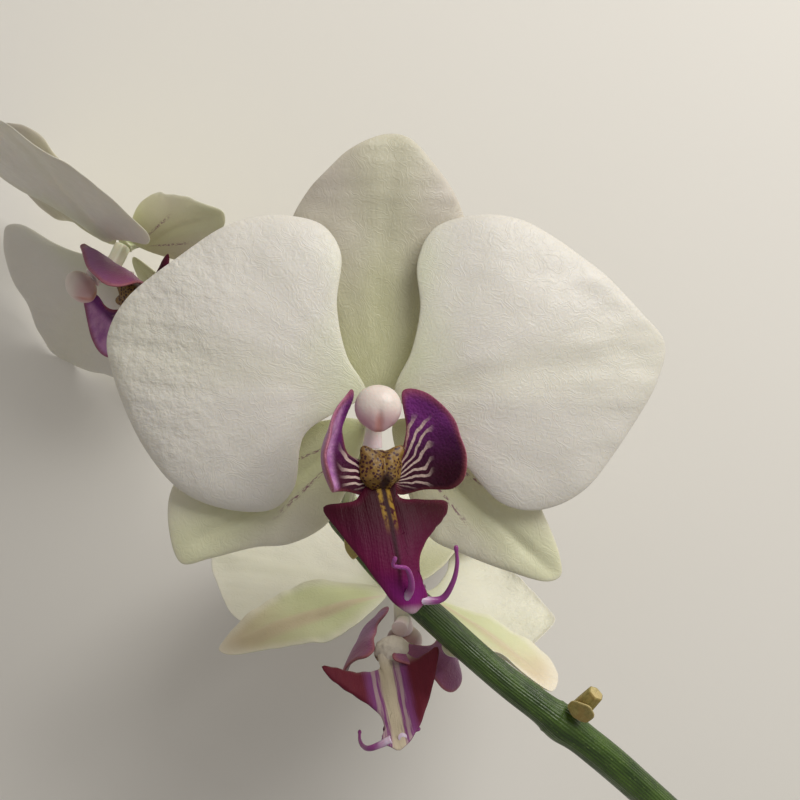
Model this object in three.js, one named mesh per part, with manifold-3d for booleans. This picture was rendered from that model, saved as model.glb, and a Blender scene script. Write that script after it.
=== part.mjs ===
// A cut phalaenopsis (moth orchid) flower spike with three open flowers, lying on a surface.
//
// Millimetres, +Z up. The surface is the plane Z = 0. While the spike is laid out, X = Y = 0 is
// straight below the middle of flower A; at the end the whole group moves so that the origin is
// the bottom centre of its box.
//
// Every flower is modelled in a frame of its own: the origin is where its organs meet, +Z is the
// way the flower faces, +Y points to its dorsal sepal and +X is right for someone facing it.

import * as THREE from 'three';
import { mergeVertices } from 'three/addons/utils/BufferGeometryUtils.js';
import Module from 'manifold-3d';

const wasm = await Module();
wasm.setup();

// Driving dimensions, mm
const PETAL_THICKNESS = 0.8;
const SEPAL_THICKNESS = 0.8;
const MIDLOBE_THICKNESS = 1.5;
const SIDE_LOBE_THICKNESS = 1.1;
const STEM_RADIUS_CUT = 3.6;
const STEM_RADIUS_TIP = 1.4;
const NODE_SWELL = 0.75;
const NODE_SWELL_LENGTH = 3.2;
const CUP_REACH = 45;
const STALK_END = 2.6;
const STALK_CLEAR = 2;
const GAP = 0.35;

// Steps of the meshes
const SPOKES = 26;
const RINGS = 4;
const STEM_SIDES = 10;
const STEM_STEPS = 64;
const STALK_SIDES = 8;
const STALK_STEPS = 14;

// Finishes
const finish = (color, roughness) => new THREE.MeshStandardMaterial({ color, roughness, metalness: 0 });
const petalWhite = () => finish('#e9e7dc', 0.55);
const sepalWhite = () => finish('#e3e4cf', 0.55);
const lipPurple = () => finish('#6d1340', 0.5);
const columnPink = () => finish('#ecd9df', 0.4);
const stalkGreen = () => finish('#cdd3a8', 0.5);
const stemGreen = () => finish('#4a6b22', 0.45);
const dryTan = () => finish('#a79a4d', 0.7);

// ---------------------------------------------------------------------------------------------
// Meshes

/** A BufferGeometry from a list of points and a list of triangles. */
function meshOf(points, triangles) {
  const geometry = new THREE.BufferGeometry();
  geometry.setAttribute('position', new THREE.Float32BufferAttribute(points.flat(), 3));
  geometry.setIndex(triangles.flat());
  return geometry;
}

/** A smooth closed outline through a few points, as evenly spaced [x, y]. */
function smoothOutline(points, count) {
  const corners = points.map(([x, y]) => new THREE.Vector3(x, y, 0));
  const curve = new THREE.CatmullRomCurve3(corners, true, 'centripetal');
  return curve.getSpacedPoints(count).slice(0, count).map((p) => [p.x, p.y]);
}

/**
 * A thin closed blade. Its outline is filled by rings that shrink towards a hub inside it, and
 * place(x, y, side) sets each point of the front (side +1) and of the back (side -1) in space.
 */
function blade(outline, hub, place, rings = RINGS) {
  const rim = smoothOutline(outline, SPOKES);
  const points = [];
  for (const side of [1, -1]) {
    points.push(place(hub[0], hub[1], side));
    for (let ring = 1; ring <= rings; ring += 1) {
      const share = ring / rings;
      for (const [x, y] of rim) {
        points.push(place(hub[0] + (x - hub[0]) * share, hub[1] + (y - hub[1]) * share, side));
      }
    }
  }
  const half = 1 + rings * SPOKES;
  const at = (face, ring, spoke) => face * half + 1 + (ring - 1) * SPOKES + (spoke % SPOKES);
  const triangles = [];
  for (let k = 0; k < SPOKES; k += 1) {
    triangles.push([0, at(0, 1, k), at(0, 1, k + 1)]);
    triangles.push([half, at(1, 1, k + 1), at(1, 1, k)]);
    for (let ring = 1; ring < rings; ring += 1) {
      triangles.push([at(0, ring, k), at(0, ring + 1, k), at(0, ring + 1, k + 1)]);
      triangles.push([at(0, ring, k), at(0, ring + 1, k + 1), at(0, ring, k + 1)]);
      triangles.push([at(1, ring, k), at(1, ring + 1, k + 1), at(1, ring + 1, k)]);
      triangles.push([at(1, ring, k), at(1, ring, k + 1), at(1, ring + 1, k + 1)]);
    }
    triangles.push([at(0, rings, k), at(1, rings, k), at(1, rings, k + 1)]);
    triangles.push([at(0, rings, k), at(1, rings, k + 1), at(0, rings, k + 1)]);
  }
  return outwards(meshOf(points, triangles));
}

/** The same mesh with its faces pointing out, whichever way round its outline ran. */
function outwards(geometry) {
  const p = geometry.attributes.position;
  const index = geometry.index.array;
  const [a, b, c] = [new THREE.Vector3(), new THREE.Vector3(), new THREE.Vector3()];
  let volume = 0;
  for (let i = 0; i < index.length; i += 3) {
    a.fromBufferAttribute(p, index[i]);
    b.fromBufferAttribute(p, index[i + 1]);
    c.fromBufferAttribute(p, index[i + 2]);
    volume += a.dot(b.cross(c));
  }
  if (volume < 0) {
    for (let i = 0; i < index.length; i += 3) {
      [index[i], index[i + 1]] = [index[i + 1], index[i]];
    }
  }
  return geometry;
}

/**
 * A closed round tube along a curve. radiusAt(share) gives its radius, and slant leans the end
 * face at the curve's start, as a knife cut does.
 */
function taperedTube(curve, radiusAt, sides, steps, slant = 0) {
  const frames = curve.computeFrenetFrames(steps, false);
  const points = [];
  for (let step = 0; step <= steps; step += 1) {
    const share = step / steps;
    const centre = curve.getPointAt(share);
    for (let k = 0; k < sides; k += 1) {
      const turn = (2 * Math.PI * k) / sides;
      const across = frames.normals[step].clone().multiplyScalar(Math.cos(turn));
      across.addScaledVector(frames.binormals[step], Math.sin(turn));
      const point = centre.clone().addScaledVector(across, radiusAt(share));
      if (step === 0) {
        point.addScaledVector(frames.tangents[0], slant * Math.cos(turn));
      }
      points.push(point.toArray());
    }
  }
  const triangles = [];
  for (let step = 0; step < steps; step += 1) {
    for (let k = 0; k < sides; k += 1) {
      const [a, b] = [step * sides + k, step * sides + ((k + 1) % sides)];
      triangles.push([a, b, b + sides], [a, b + sides, a + sides]);
    }
  }
  const last = steps * sides;
  for (let k = 1; k < sides - 1; k += 1) {
    triangles.push([0, k + 1, k], [last, last + k, last + k + 1]);
  }
  return outwards(meshOf(points, triangles));
}

/** A smooth curve through hand-chosen points. */
const through = (...points) => new THREE.CatmullRomCurve3(points.map((p) => new THREE.Vector3(...p)));

/** A rounded solid: a sphere stretched to three radii about a centre. */
function pebble(centre, radii, across = 12, up = 8) {
  const ball = new THREE.SphereGeometry(1, across, up);
  ball.rotateX(Math.PI / 2);
  ball.scale(...radii);
  ball.translate(...centre);
  return ball;
}

/** Joins closed meshes that run into each other into one solid. */
function joined(...geometries) {
  const solids = geometries.map((geometry) => {
    geometry.deleteAttribute('normal');
    geometry.deleteAttribute('uv');
    const welded = mergeVertices(geometry, 1e-4);
    const vertProperties = new Float32Array(welded.attributes.position.array);
    const triVerts = new Uint32Array(welded.index.array);
    return new wasm.Manifold(new wasm.Mesh({ numProp: 3, vertProperties, triVerts }));
  });
  const whole = solids.reduce((sum, solid) => sum.add(solid)).getMesh();
  const geometry = new THREE.BufferGeometry();
  geometry.setAttribute('position', new THREE.BufferAttribute(new Float32Array(whole.vertProperties), 3));
  geometry.setIndex(new THREE.BufferAttribute(new Uint32Array(whole.triVerts), 1));
  return geometry;
}

/** A named mesh with a finish. */
function piece(name, geometry, material) {
  const mesh = new THREE.Mesh(geometry, material);
  mesh.name = name;
  return mesh;
}

// ---------------------------------------------------------------------------------------------
// Petals and sepals. An outline runs from the claw round the blade, and the blade's height over
// the flower's plane is: lift + bulge x sin(pi x along) - drop x along^2 - curl x across^2, where
// along is the share of the way from root to tip and across the share of the half width.

const TEPALS = {
  right_petal: {
    outline: [[2.6, 2.9], [5.5, 10.5], [7.1, 18], [6.8, 26.5], [10, 32.8], [17, 35.2], [25, 34.8],
      [33, 30.8], [41, 24.9], [48, 17.8], [52.7, 12.3], [51.2, 5.5], [42.7, -8], [37.4, -14.2],
      [32, -17.3], [26.7, -18.1], [21.5, -16.5], [15.1, -9.8], [8.5, -2.5]],
    hub: [25, 9], root: [1.5, 3], tip: [51, 10], half: 25,
    lift: 0.8, bulge: 2.5, drop: 2, curl: 3,
  },
  left_petal: {
    outline: [[-2.6, 2.9], [-6, 9.6], [-7.7, 18.5], [-6.9, 28], [-10, 33.1], [-15.5, 34.8],
      [-22.6, 34.5], [-28.5, 32.3], [-36.1, 26.9], [-45, 19.6], [-48.3, 13], [-47.2, 6.5],
      [-44.7, -0.5], [-41, -7.5], [-35.1, -14.2], [-27.8, -17.4], [-19.2, -17.6], [-15.4, -14],
      [-13.5, -4.5], [-8, -0.4]],
    hub: [-25, 9], root: [-1.5, 3], tip: [-48, 12], half: 25,
    lift: 0.8, bulge: 2.5, drop: 3.5, curl: 3,
  },
  dorsal_sepal: {
    outline: [[-2.6, 3.4], [-6.4, 10], [-9, 19], [-14.5, 27.5], [-15.8, 33.5], [-12.7, 39.9],
      [-9.1, 43.8], [-5.2, 47.4], [1.8, 50.6], [5.7, 50], [10.6, 45], [14.6, 39.2],
      [16.8, 32], [15.5, 26], [11, 18], [7, 10], [2.6, 3.4]],
    hub: [1, 28], root: [0, 3], tip: [2.5, 50], half: 17,
    lift: -2.8, bulge: -1, drop: 1.5, curl: 1.5,
  },
  left_sepal: {
    outline: [[-2.6, -2.4], [-4.5, -11], [-7, -17], [-9.8, -21], [-15.9, -24], [-22.1, -24.6],
      [-30.3, -26.5], [-35.2, -27.3], [-37.5, -20.9], [-37, -14], [-32, -8], [-22, -3.5],
      [-11, -2], [-5, -1.4]],
    hub: [-20, -14], root: [-1.5, -3], tip: [-36, -26], half: 12,
    lift: -2.8, bulge: -0.5, drop: 2, curl: 1.2,
  },
  right_sepal: {
    outline: [[2.6, -2.4], [4.5, -12], [7, -19], [9.8, -23.4], [15.5, -26.2], [23.5, -29.3],
      [31.4, -31.4], [33.8, -30.4], [33.6, -26.8], [30.1, -18], [26, -11], [19, -5.5], [11, -2.6],
      [5, -1.4]],
    hub: [19, -17], root: [1.5, -3], tip: [34, -30.8], half: 12,
    lift: -2.8, bulge: -0.5, drop: 2, curl: 1.2,
  },
};

/**
 * One petal or sepal. Its blade is spread to a share of its full size, and cup lifts it forwards
 * by the square of its distance from the flower's middle, as in a flower that is still opening.
 */
function tepal(shape, spread, cup, thickness) {
  const [rootX, rootY] = shape.root;
  const length = Math.hypot(shape.tip[0] - rootX, shape.tip[1] - rootY);
  const [ux, uy] = [(shape.tip[0] - rootX) / length, (shape.tip[1] - rootY) / length];
  const place = (x, y, side) => {
    const along = THREE.MathUtils.clamp(((x - rootX) * ux + (y - rootY) * uy) / length, 0, 1.1);
    const across = ((y - rootY) * ux - (x - rootX) * uy) / shape.half;
    const rise = shape.bulge * Math.sin(Math.PI * along) - shape.drop * along ** 2;
    const opening = cup * ((x ** 2 + y ** 2) / CUP_REACH ** 2);
    const z = shape.lift + rise - shape.curl * across ** 2 + opening;
    const widen = spread + (1 - spread) * (1 - along) ** 4;
    return [x * widen, y * widen, z + (side * thickness) / 2];
  };
  return blade(shape.outline, shape.hub, place);
}

// ---------------------------------------------------------------------------------------------
// The lip, one organ: two side lobes that stand up and curl inwards like cupped hands, a warty
// callus between them, the anchor-shaped mid-lobe, and two tendrils at its end.

const LIP_CLAW = [0, -11, 5];
const MIDLOBE_OUTLINE = [[-10.4, -16.8], [-5.5, -15.5], [-3, -12.4], [2, -12.4], [2.2, -15.1],
  [6.6, -15.7], [14.2, -16.7], [13, -18.4], [7.2, -21.8], [4.4, -25], [4.2, -29.4], [5.3, -32.3],
  [2.2, -34.7], [-0.5, -33.3], [-3.1, -30.1], [-5.5, -26.3], [-9, -20.5]];
const MIDLOBE_HUB = [0, -22];
const SIDE_LOBE_OUTLINE = [[0.9, 3.4], [5.1, 3], [10.4, -1.6], [13.3, -7], [13.4, -11.4],
  [10.6, -13.6], [4.5, -14], [0, -14.8], [-0.9, -12.5], [0.1, -9], [1.4, -3.6]];
const SIDE_LOBE_HUB = [6, -7.5];
const SIDE_LOBE_BASE = 3;
const SIDE_LOBE_START = THREE.MathUtils.degToRad(22);
const SIDE_LOBE_BEND = THREE.MathUtils.degToRad(4.4);
const LEFT_LOBE_BOW = 3.8;

/** The mid-lobe: it arches forwards, and its two wings sweep back from the keel. */
function midLobe() {
  const place = (x, y, side) => {
    const down = (-12 - y) / 24;
    const keel = 1 + down;
    const z = 5.5 + 6.5 * Math.sin(Math.PI * 0.62 * down) - 0.035 * (x - keel) ** 2;
    return [x, y, z + (side * MIDLOBE_THICKNESS) / 2];
  };
  return blade(MIDLOBE_OUTLINE, MIDLOBE_HUB, place, 3);
}

/**
 * A side lobe on the right (+1) or left (-1). Its slope grows evenly from base to rim, an arc, and
 * bow pushes the middle of its rim outwards.
 */
function sideLobe(hand, bow) {
  const place = (out, y, side) => {
    const slope = SIDE_LOBE_START + SIDE_LOBE_BEND * out;
    const x = (Math.sin(slope) - Math.sin(SIDE_LOBE_START)) / SIDE_LOBE_BEND;
    const z = (Math.cos(SIDE_LOBE_START) - Math.cos(slope)) / SIDE_LOBE_BEND;
    const shift = (side * SIDE_LOBE_THICKNESS) / 2;
    const push = bow * Math.exp(-(((y + 8) / 8) ** 2)) * THREE.MathUtils.smoothstep(out, 1, 8);
    const away = SIDE_LOBE_BASE + x + push - Math.sin(slope) * shift;
    return [hand * away, y, 5 + z + Math.cos(slope) * shift];
  };
  return blade(SIDE_LOBE_OUTLINE, SIDE_LOBE_HUB, place, 3);
}

/** A tendril along a curve, thinning to its end. */
const tendril = (...points) => taperedTube(through(...points), (share) => 0.75 - 0.3 * share, 6, 12);

/** Turns a geometry about an axis through the lip's claw. */
function turnedAtClaw(geometry, turnName, angle) {
  const [x, y, z] = LIP_CLAW;
  geometry.translate(-x, -y, -z);
  geometry[turnName](angle);
  geometry.translate(x, y, z);
  return geometry;
}

/** The whole lip: turn makes it look left or right, and slant swings its mid-lobe sideways. */
function lip(turn, slant) {
  const swinging = [
    midLobe(),
    tendril([1, -32.6, 11.3], [1.2, -30, 13.8], [-0.4, -26.7, 15.4], [-3.2, -25.9, 16], [-3, -24.6, 16.4]),
    tendril([3.4, -32.6, 11.3], [7.6, -32.5, 12.4], [8.9, -29.8, 14], [9.3, -26.5, 15], [8.9, -23.3, 15.4]),
  ].map((geometry) => turnedAtClaw(geometry, 'rotateZ', slant));
  const callus = pebble([-1.2, -10.6, 6.4], [4, 4.2, 3]);
  const sides = [sideLobe(1, 0), sideLobe(-1, LEFT_LOBE_BOW)];
  return turnedAtClaw(joined(...sides, callus, ...swinging), 'rotateY', turn);
}

// ---------------------------------------------------------------------------------------------
// The column: a short fleshy post whose foot runs down to the lip, with the anther cap on its end.

function column() {
  const post = taperedTube(through([0, 0, -1.8], [-0.7, -1.2, 3], [-1.2, 0, 8.2]), () => 2.1, STALK_SIDES, 8);
  const foot = taperedTube(through([-0.7, -0.6, 3.6], [-1.4, -3.4, 3.6], [-1.6, -6.4, 3]), () => 1.4, 8, 4);
  return joined(post, foot);
}

const antherCap = () => pebble([-1.3, 0.3, 11.6], [4, 3.9, 2.9]);

// ---------------------------------------------------------------------------------------------
// Stalks

/**
 * A flower's stalk with its ovary, from the stem to the back of the flower. It leaves the stem
 * along heading, and lead and arrive say how long it keeps its direction at each end.
 */
function pedicel(start, heading, lead, arrive, flower) {
  const facing = new THREE.Vector3(0, 0, 1).applyQuaternion(flower.quaternion);
  const end = flower.position.clone().addScaledVector(facing, -STALK_END);
  const away = start.clone().addScaledVector(new THREE.Vector3(...heading).normalize(), lead);
  const curve = new THREE.CubicBezierCurve3(start, away, end.clone().addScaledVector(facing, -arrive), end);
  const radiusAt = (share) => 1.75 - 0.35 * Math.sin(Math.PI * share) + 0.25 * share ** 3;
  return taperedTube(curve, radiusAt, STALK_SIDES, STALK_STEPS);
}

/**
 * A bract: a small scale leaf that hugs the stem under a stalk. It covers an arc round the stem
 * that narrows to a point, and it stands off a little more towards its tip.
 */
function bract(stemPoint, stemDirection, towards, stemRadius, length) {
  const up = stemDirection.clone().normalize();
  const out = towards.clone().addScaledVector(up, -towards.dot(up)).normalize();
  const beside = new THREE.Vector3().crossVectors(up, out);
  const [columns, rows, thickness] = [6, 5, 0.6];
  const points = [];
  for (const side of [1, -1]) {
    for (let row = 0; row <= rows; row += 1) {
      const v = row / rows;
      for (let k = 0; k <= columns; k += 1) {
        const turn = (k / columns - 0.5) * 2 * (1.15 * (1 - v ** 1.6) + 0.06);
        const radius = stemRadius + GAP + 0.9 * v ** 1.5 + (side > 0 ? thickness : 0);
        const point = stemPoint.clone().addScaledVector(up, length * (v - 0.45));
        point.addScaledVector(out, radius * Math.cos(turn));
        point.addScaledVector(beside, radius * Math.sin(turn));
        points.push(point.toArray());
      }
    }
  }
  const width = columns + 1;
  const half = width * (rows + 1);
  const triangles = [];
  const quad = (a, b, c, d) => triangles.push([a, b, c], [a, c, d]);
  for (let row = 0; row < rows; row += 1) {
    for (let k = 0; k < columns; k += 1) {
      const a = row * width + k;
      quad(a, a + 1, a + width + 1, a + width);
      quad(half + a, half + a + width, half + a + width + 1, half + a + 1);
    }
    const [left, right] = [row * width, row * width + columns];
    quad(left, left + width, half + left + width, half + left);
    quad(right, half + right, half + right + width, right + width);
  }
  for (let k = 0; k < columns; k += 1) {
    const end = rows * width + k;
    quad(k, half + k, half + k + 1, k + 1);
    quad(end, end + 1, half + end + 1, half + end);
  }
  return outwards(meshOf(points, triangles));
}

// ---------------------------------------------------------------------------------------------
// The spike

const STEM_ROUTE = through(
  [132, -165, 3.1], [113, -145, 9], [90, -120, 29], [68, -93.5, 51], [47, -71.8, 65.5],
  [32.6, -59.9, 69], [23.5, -52.9, 69.5], [12.1, -42.9, 69.5], [-1, -30.8, 68], [-7.8, -21.8, 67],
  [-18, -8, 64], [-26, 3, 60], [-33, 14, 54],
);

// Where on the stem each node is, as a share of its length
const NODES = { low: 0.25, stub: 0.598, a: 0.825, c: 0.891, b: 0.945 };

/** The stem's radius: an even taper, with a swelling at each node. */
function stemRadius(share) {
  const length = STEM_ROUTE.getLength();
  const swellOf = (node) => Math.exp(-((((share - node) * length) / NODE_SWELL_LENGTH) ** 2));
  const swell = Object.values(NODES).reduce((sum, node) => sum + swellOf(node), 0);
  const plain = THREE.MathUtils.lerp(STEM_RADIUS_CUT, STEM_RADIUS_TIP, share ** 3);
  return plain + NODE_SWELL * swell * (plain / STEM_RADIUS_CUT);
}

/** A place on the stem's skin at a node, facing a direction, with the gap that parts keep. */
function onSkin(node, towards, clear = GAP) {
  const centre = STEM_ROUTE.getPointAt(node);
  const up = STEM_ROUTE.getTangentAt(node);
  const out = new THREE.Vector3(...towards);
  out.addScaledVector(up, -out.dot(up)).normalize();
  return centre.addScaledVector(out, stemRadius(node) + clear);
}

/** A flower's frame: its middle, the way it faces, and its roll in radians about that. */
function flowerFrame(position, facing, roll) {
  const group = new THREE.Group();
  const z = new THREE.Vector3(...facing).normalize();
  const x = new THREE.Vector3(0, 1, 0).cross(z).normalize();
  const y = new THREE.Vector3().crossVectors(z, x);
  group.quaternion.setFromRotationMatrix(new THREE.Matrix4().makeBasis(x, y, z));
  group.quaternion.multiply(new THREE.Quaternion().setFromAxisAngle(new THREE.Vector3(0, 0, 1), roll));
  group.position.set(...position);
  return group;
}

const degrees = THREE.MathUtils.degToRad;
// leftPetalSpread is the left petal's own share of full size, and the left sepal swings in the
// flower's plane and twists about its own length
const FLOWERS = {
  a: {
    position: [0, 0, 96], facing: [0.1, 0.02, 1], roll: 0, spread: 1, leftPetalSpread: 1,
    petalCup: 0, sepalCup: 0, leftSepalSwing: 0, leftSepalTwist: 0, lipTurn: degrees(20), lipSlant: 0,
    side: [-0.2, 0.5, 0.85], heading: [0.1, 0.55, 0.83], lead: 13, arrive: 13,
  },
  b: {
    position: [-60, 35, 33.1], facing: [-0.58, -0.66, 0.48], roll: degrees(45), spread: 0.88,
    leftPetalSpread: 0.88, petalCup: 12, sepalCup: 0, leftSepalSwing: 0, leftSepalTwist: 0,
    lipTurn: degrees(5), lipSlant: 0,
    side: [0.4, 0.9, 0.1], heading: [0.1, 0.95, -0.25], lead: 24, arrive: 9,
  },
  c: {
    position: [3.9, -41.5, 41.5], facing: [-0.056, -0.861, -0.505], roll: degrees(22),
    spread: 0.92, leftPetalSpread: 0.68, petalCup: 6, sepalCup: 6, leftSepalSwing: degrees(-11),
    leftSepalTwist: degrees(-30), lipTurn: degrees(-10), lipSlant: degrees(-27),
    side: [0.3, -0.3, -0.9], heading: [0.1, -0.25, -0.96], lead: 14, arrive: 14,
  },
};

const spike = new THREE.Group();
const stemLength = STEM_ROUTE.getLength();
spike.add(piece(
  'rachis', taperedTube(STEM_ROUTE, stemRadius, STEM_SIDES, STEM_STEPS, 2.4), stemGreen()));

for (const [id, flower] of Object.entries(FLOWERS)) {
  const frame = flowerFrame(flower.position, flower.facing, flower.roll);
  for (const [organ, shape] of Object.entries(TEPALS)) {
    const petal = organ.endsWith('petal');
    const thickness = petal ? PETAL_THICKNESS : SEPAL_THICKNESS;
    const cup = petal ? flower.petalCup : flower.sepalCup;
    const spread = organ === 'left_petal' ? flower.leftPetalSpread : flower.spread;
    const geometry = tepal(shape, spread, cup, thickness);
    const mesh = piece(`${id}_${organ}`, geometry, petal ? petalWhite() : sepalWhite());
    if (organ === 'left_sepal') {
      const length = new THREE.Vector3(shape.tip[0] - shape.root[0], shape.tip[1] - shape.root[1], 0);
      mesh.rotateZ(flower.leftSepalSwing);
      mesh.rotateOnAxis(length.normalize(), flower.leftSepalTwist);
    }
    frame.add(mesh);
  }
  frame.add(piece(`${id}_lip`, lip(flower.lipTurn, flower.lipSlant), lipPurple()));
  frame.add(piece(`${id}_column`, column(), columnPink()));
  frame.add(piece(`${id}_anther_cap`, antherCap(), columnPink()));
  spike.add(frame);

  const node = NODES[id];
  const start = onSkin(node, flower.side, STALK_CLEAR);
  const stalk = pedicel(start, flower.heading, flower.lead, flower.arrive, frame);
  spike.add(piece(`${id}_pedicel`, stalk, stalkGreen()));
  const scale = bract(
    STEM_ROUTE.getPointAt(node - 5 / stemLength), STEM_ROUTE.getTangentAt(node),
    new THREE.Vector3(...flower.side), stemRadius(node), 6);
  spike.add(piece(`${id}_bract`, scale, dryTan()));
}

// The cut, dried stalk of a lost flower, and its bract
const STUB_SIDE = [0.42, 0.62, 0.55];
const STUB_LENGTH = 6.2;
const STUB_BRACT_LENGTH = 4.6;
const stubHeading = new THREE.Vector3(0.52, 0.68, 0.45).normalize();
const stubStart = onSkin(NODES.stub, STUB_SIDE, GAP + 0.6);
const stubEnd = stubStart.clone().addScaledVector(stubHeading, STUB_LENGTH);
const stubLine = new THREE.LineCurve3(stubStart, stubEnd);
spike.add(piece('stub', taperedTube(stubLine, (share) => 2.1 - 0.5 * share, STALK_SIDES, 3), dryTan()));
spike.add(piece('stub_bract', bract(
  stubStart.clone().addScaledVector(stubHeading, 0.6 * STUB_BRACT_LENGTH), stubHeading,
  new THREE.Vector3(-0.45, -0.55, 0.7), 2.1, STUB_BRACT_LENGTH), dryTan()));

// The last small closed bud, on the stem's tip
const tip = STEM_ROUTE.getPointAt(1).addScaledVector(STEM_ROUTE.getTangentAt(1), 3.6);
spike.add(piece('tip_bud', pebble(tip.toArray(), [2.6, 2.6, 3.2]), stalkGreen()));

spike.updateMatrixWorld(true);
const box = new THREE.Box3().setFromObject(spike, true);
spike.position.set(-(box.min.x + box.max.x) / 2, -(box.min.y + box.max.y) / 2, -box.min.z);

export default spike;
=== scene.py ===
"""The looks of a cut phalaenopsis (moth orchid) flower spike that lies on a pale table.

Every organ is a closed surface worked out in millimetres. A flower's organs are shaped in the
flower's own frame: the origin is where they meet, +Z is the way the flower faces, +Y points to its
dorsal sepal and +X is right for someone facing it. The spike is laid out with X = Y = 0 straight
below the middle of flower A and with the table at Z = 0, and the frame says where that place is.
"""

import logging
import math
from dataclasses import dataclass, field
from enum import Enum

import bpy
import numpy as np
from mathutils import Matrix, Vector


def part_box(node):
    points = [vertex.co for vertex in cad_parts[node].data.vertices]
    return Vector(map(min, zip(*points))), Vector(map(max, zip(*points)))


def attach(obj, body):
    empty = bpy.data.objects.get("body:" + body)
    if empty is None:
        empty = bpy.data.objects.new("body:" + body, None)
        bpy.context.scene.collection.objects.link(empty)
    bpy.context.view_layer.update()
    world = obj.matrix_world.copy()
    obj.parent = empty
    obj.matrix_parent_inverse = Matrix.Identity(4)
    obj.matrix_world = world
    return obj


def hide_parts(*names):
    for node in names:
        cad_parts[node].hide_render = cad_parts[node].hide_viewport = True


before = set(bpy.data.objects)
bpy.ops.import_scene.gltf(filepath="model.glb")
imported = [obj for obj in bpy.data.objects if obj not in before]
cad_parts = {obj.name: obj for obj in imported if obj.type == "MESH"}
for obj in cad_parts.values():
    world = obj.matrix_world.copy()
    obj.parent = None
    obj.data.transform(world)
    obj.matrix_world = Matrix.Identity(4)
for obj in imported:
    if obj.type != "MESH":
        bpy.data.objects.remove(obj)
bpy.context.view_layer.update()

LOG = logging.getLogger("orchid")
Array = np.ndarray
Points = tuple[tuple[float, ...], ...]

MM = 0.001
BLADE_SPOKES = 176
BLADE_RINGS = 44


# ------------------------------------------------------------------------------------------------
# Curves and closed surfaces


def smooth_curve(points: Array, closed: bool, steps: int = 24) -> Array:
    """A centripetal Catmull-Rom curve: between two points it is the cubic whose end slopes come
    from the neighbours, each weighed by the square root of the distance to it.

    Args:
        points: The points that the curve goes through, (n, d).
        closed: Whether the curve returns to its first point.
        steps: Points for each stretch.

    Returns:
        Points along the curve, (m, d). An open curve ends on its last point.
    """
    if closed:
        around = np.concatenate([points[-1:], points, points[:2]])
    else:
        around = np.concatenate([2 * points[:1] - points[1:2], points, 2 * points[-1:] - points[-2:-1]])
    p0, p1, p2, p3 = (around[k : len(around) - 3 + k][:, None] for k in range(4))
    gap = [np.sqrt(np.linalg.norm(b - a, axis=2, keepdims=True)) for a, b in ((p0, p1), (p1, p2), (p2, p3))]
    slope1 = (p1 - p0) / gap[0] - (p2 - p0) / (gap[0] + gap[1]) + (p2 - p1) / gap[1]
    slope2 = (p2 - p1) / gap[1] - (p3 - p1) / (gap[1] + gap[2]) + (p3 - p2) / gap[2]
    t = np.linspace(0, 1, steps, endpoint=False)[None, :, None]
    bend = -3 * p1 + 3 * p2 - (2 * slope1 + slope2) * gap[1]
    twist = 2 * p1 - 2 * p2 + (slope1 + slope2) * gap[1]
    curve = (p1 + slope1 * gap[1] * t + bend * t**2 + twist * t**3).reshape(-1, points.shape[1])
    return curve if closed else np.concatenate([curve, points[-1:]])


def evenly(curve: Array, shares: Array) -> Array:
    """The points of a polyline at shares of its length."""
    run = np.concatenate([[0.0], np.cumsum(np.linalg.norm(np.diff(curve, axis=0), axis=1))])
    return np.stack([np.interp(shares * run[-1], run, column) for column in curve.T], axis=1)


def bezier(points: Array, shares: Array) -> Array:
    """The cubic Bezier curve of four points, at shares of its parameter."""
    t = shares[:, None]
    return sum(
        weight * point
        for weight, point in zip(((1 - t) ** 3, 3 * t * (1 - t) ** 2, 3 * t**2 * (1 - t), t**3), points)
    )


def unit(vectors: Array) -> Array:
    """Vectors scaled to a length of one."""
    return vectors / np.maximum(np.linalg.norm(vectors, axis=-1, keepdims=True), 1e-9)


def bell(values: Array, width: float) -> Array:
    """A bell curve: 1 at zero, and exp(-1) at one width."""
    return np.exp(-((values / width) ** 2))


def ramp(values: Array, low: float, high: float) -> Array:
    """A smooth step from 0 at low to 1 at high."""
    share = np.clip((values - low) / (high - low), 0, 1)
    return share * share * (3 - 2 * share)


def ripples(x: Array, y: Array, size: float, seed: int, waves: int = 7) -> Array:
    """Soft unevenness: the mean of sine waves in seeded directions, each about one size long."""
    rng = np.random.default_rng(seed)
    turn, phase = rng.uniform(0, 2 * math.pi, (2, waves, 1))
    pace = 2 * math.pi / (size * rng.uniform(0.7, 1.6, (waves, 1)))
    flat = (x.ravel() * np.cos(turn) + y.ravel() * np.sin(turn)) * pace + phase
    return np.sin(flat).mean(axis=0).reshape(x.shape) * 2


@dataclass
class Skin:
    """A closed surface in millimetres, with the coordinates that its finish reads.

    Attributes:
        points: Its vertices, (n, 3).
        faces: Arrays of vertex numbers, (m, 3) or (m, 4).
        pattern: Three numbers a vertex, which the finish reads as the attribute "pattern".
        side: One number a vertex: 1 on the front, 0 on the rim and -1 on the back.
    """

    points: Array
    faces: list[Array]
    pattern: Array
    side: Array

    def placed(self, origin: Array, axes: Array) -> "Skin":
        """The same surface in a frame with this origin and these three axes, as rows."""
        return Skin(origin + self.points @ axes, self.faces, self.pattern, self.side)

    def volume(self) -> float:
        """Six times the volume inside, which is negative where the faces point in."""
        total = 0.0
        for corners in self.faces:
            for k in range(1, corners.shape[1] - 1):
                a, b, c = (self.points[corners[:, i]] for i in (0, k, k + 1))
                total += float((a * np.cross(b, c)).sum())
        return total

    def facing_out(self) -> "Skin":
        """The same surface with its faces pointing out."""
        if self.volume() < 0:
            self.faces = [corners[:, ::-1] for corners in self.faces]
        return self


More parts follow.
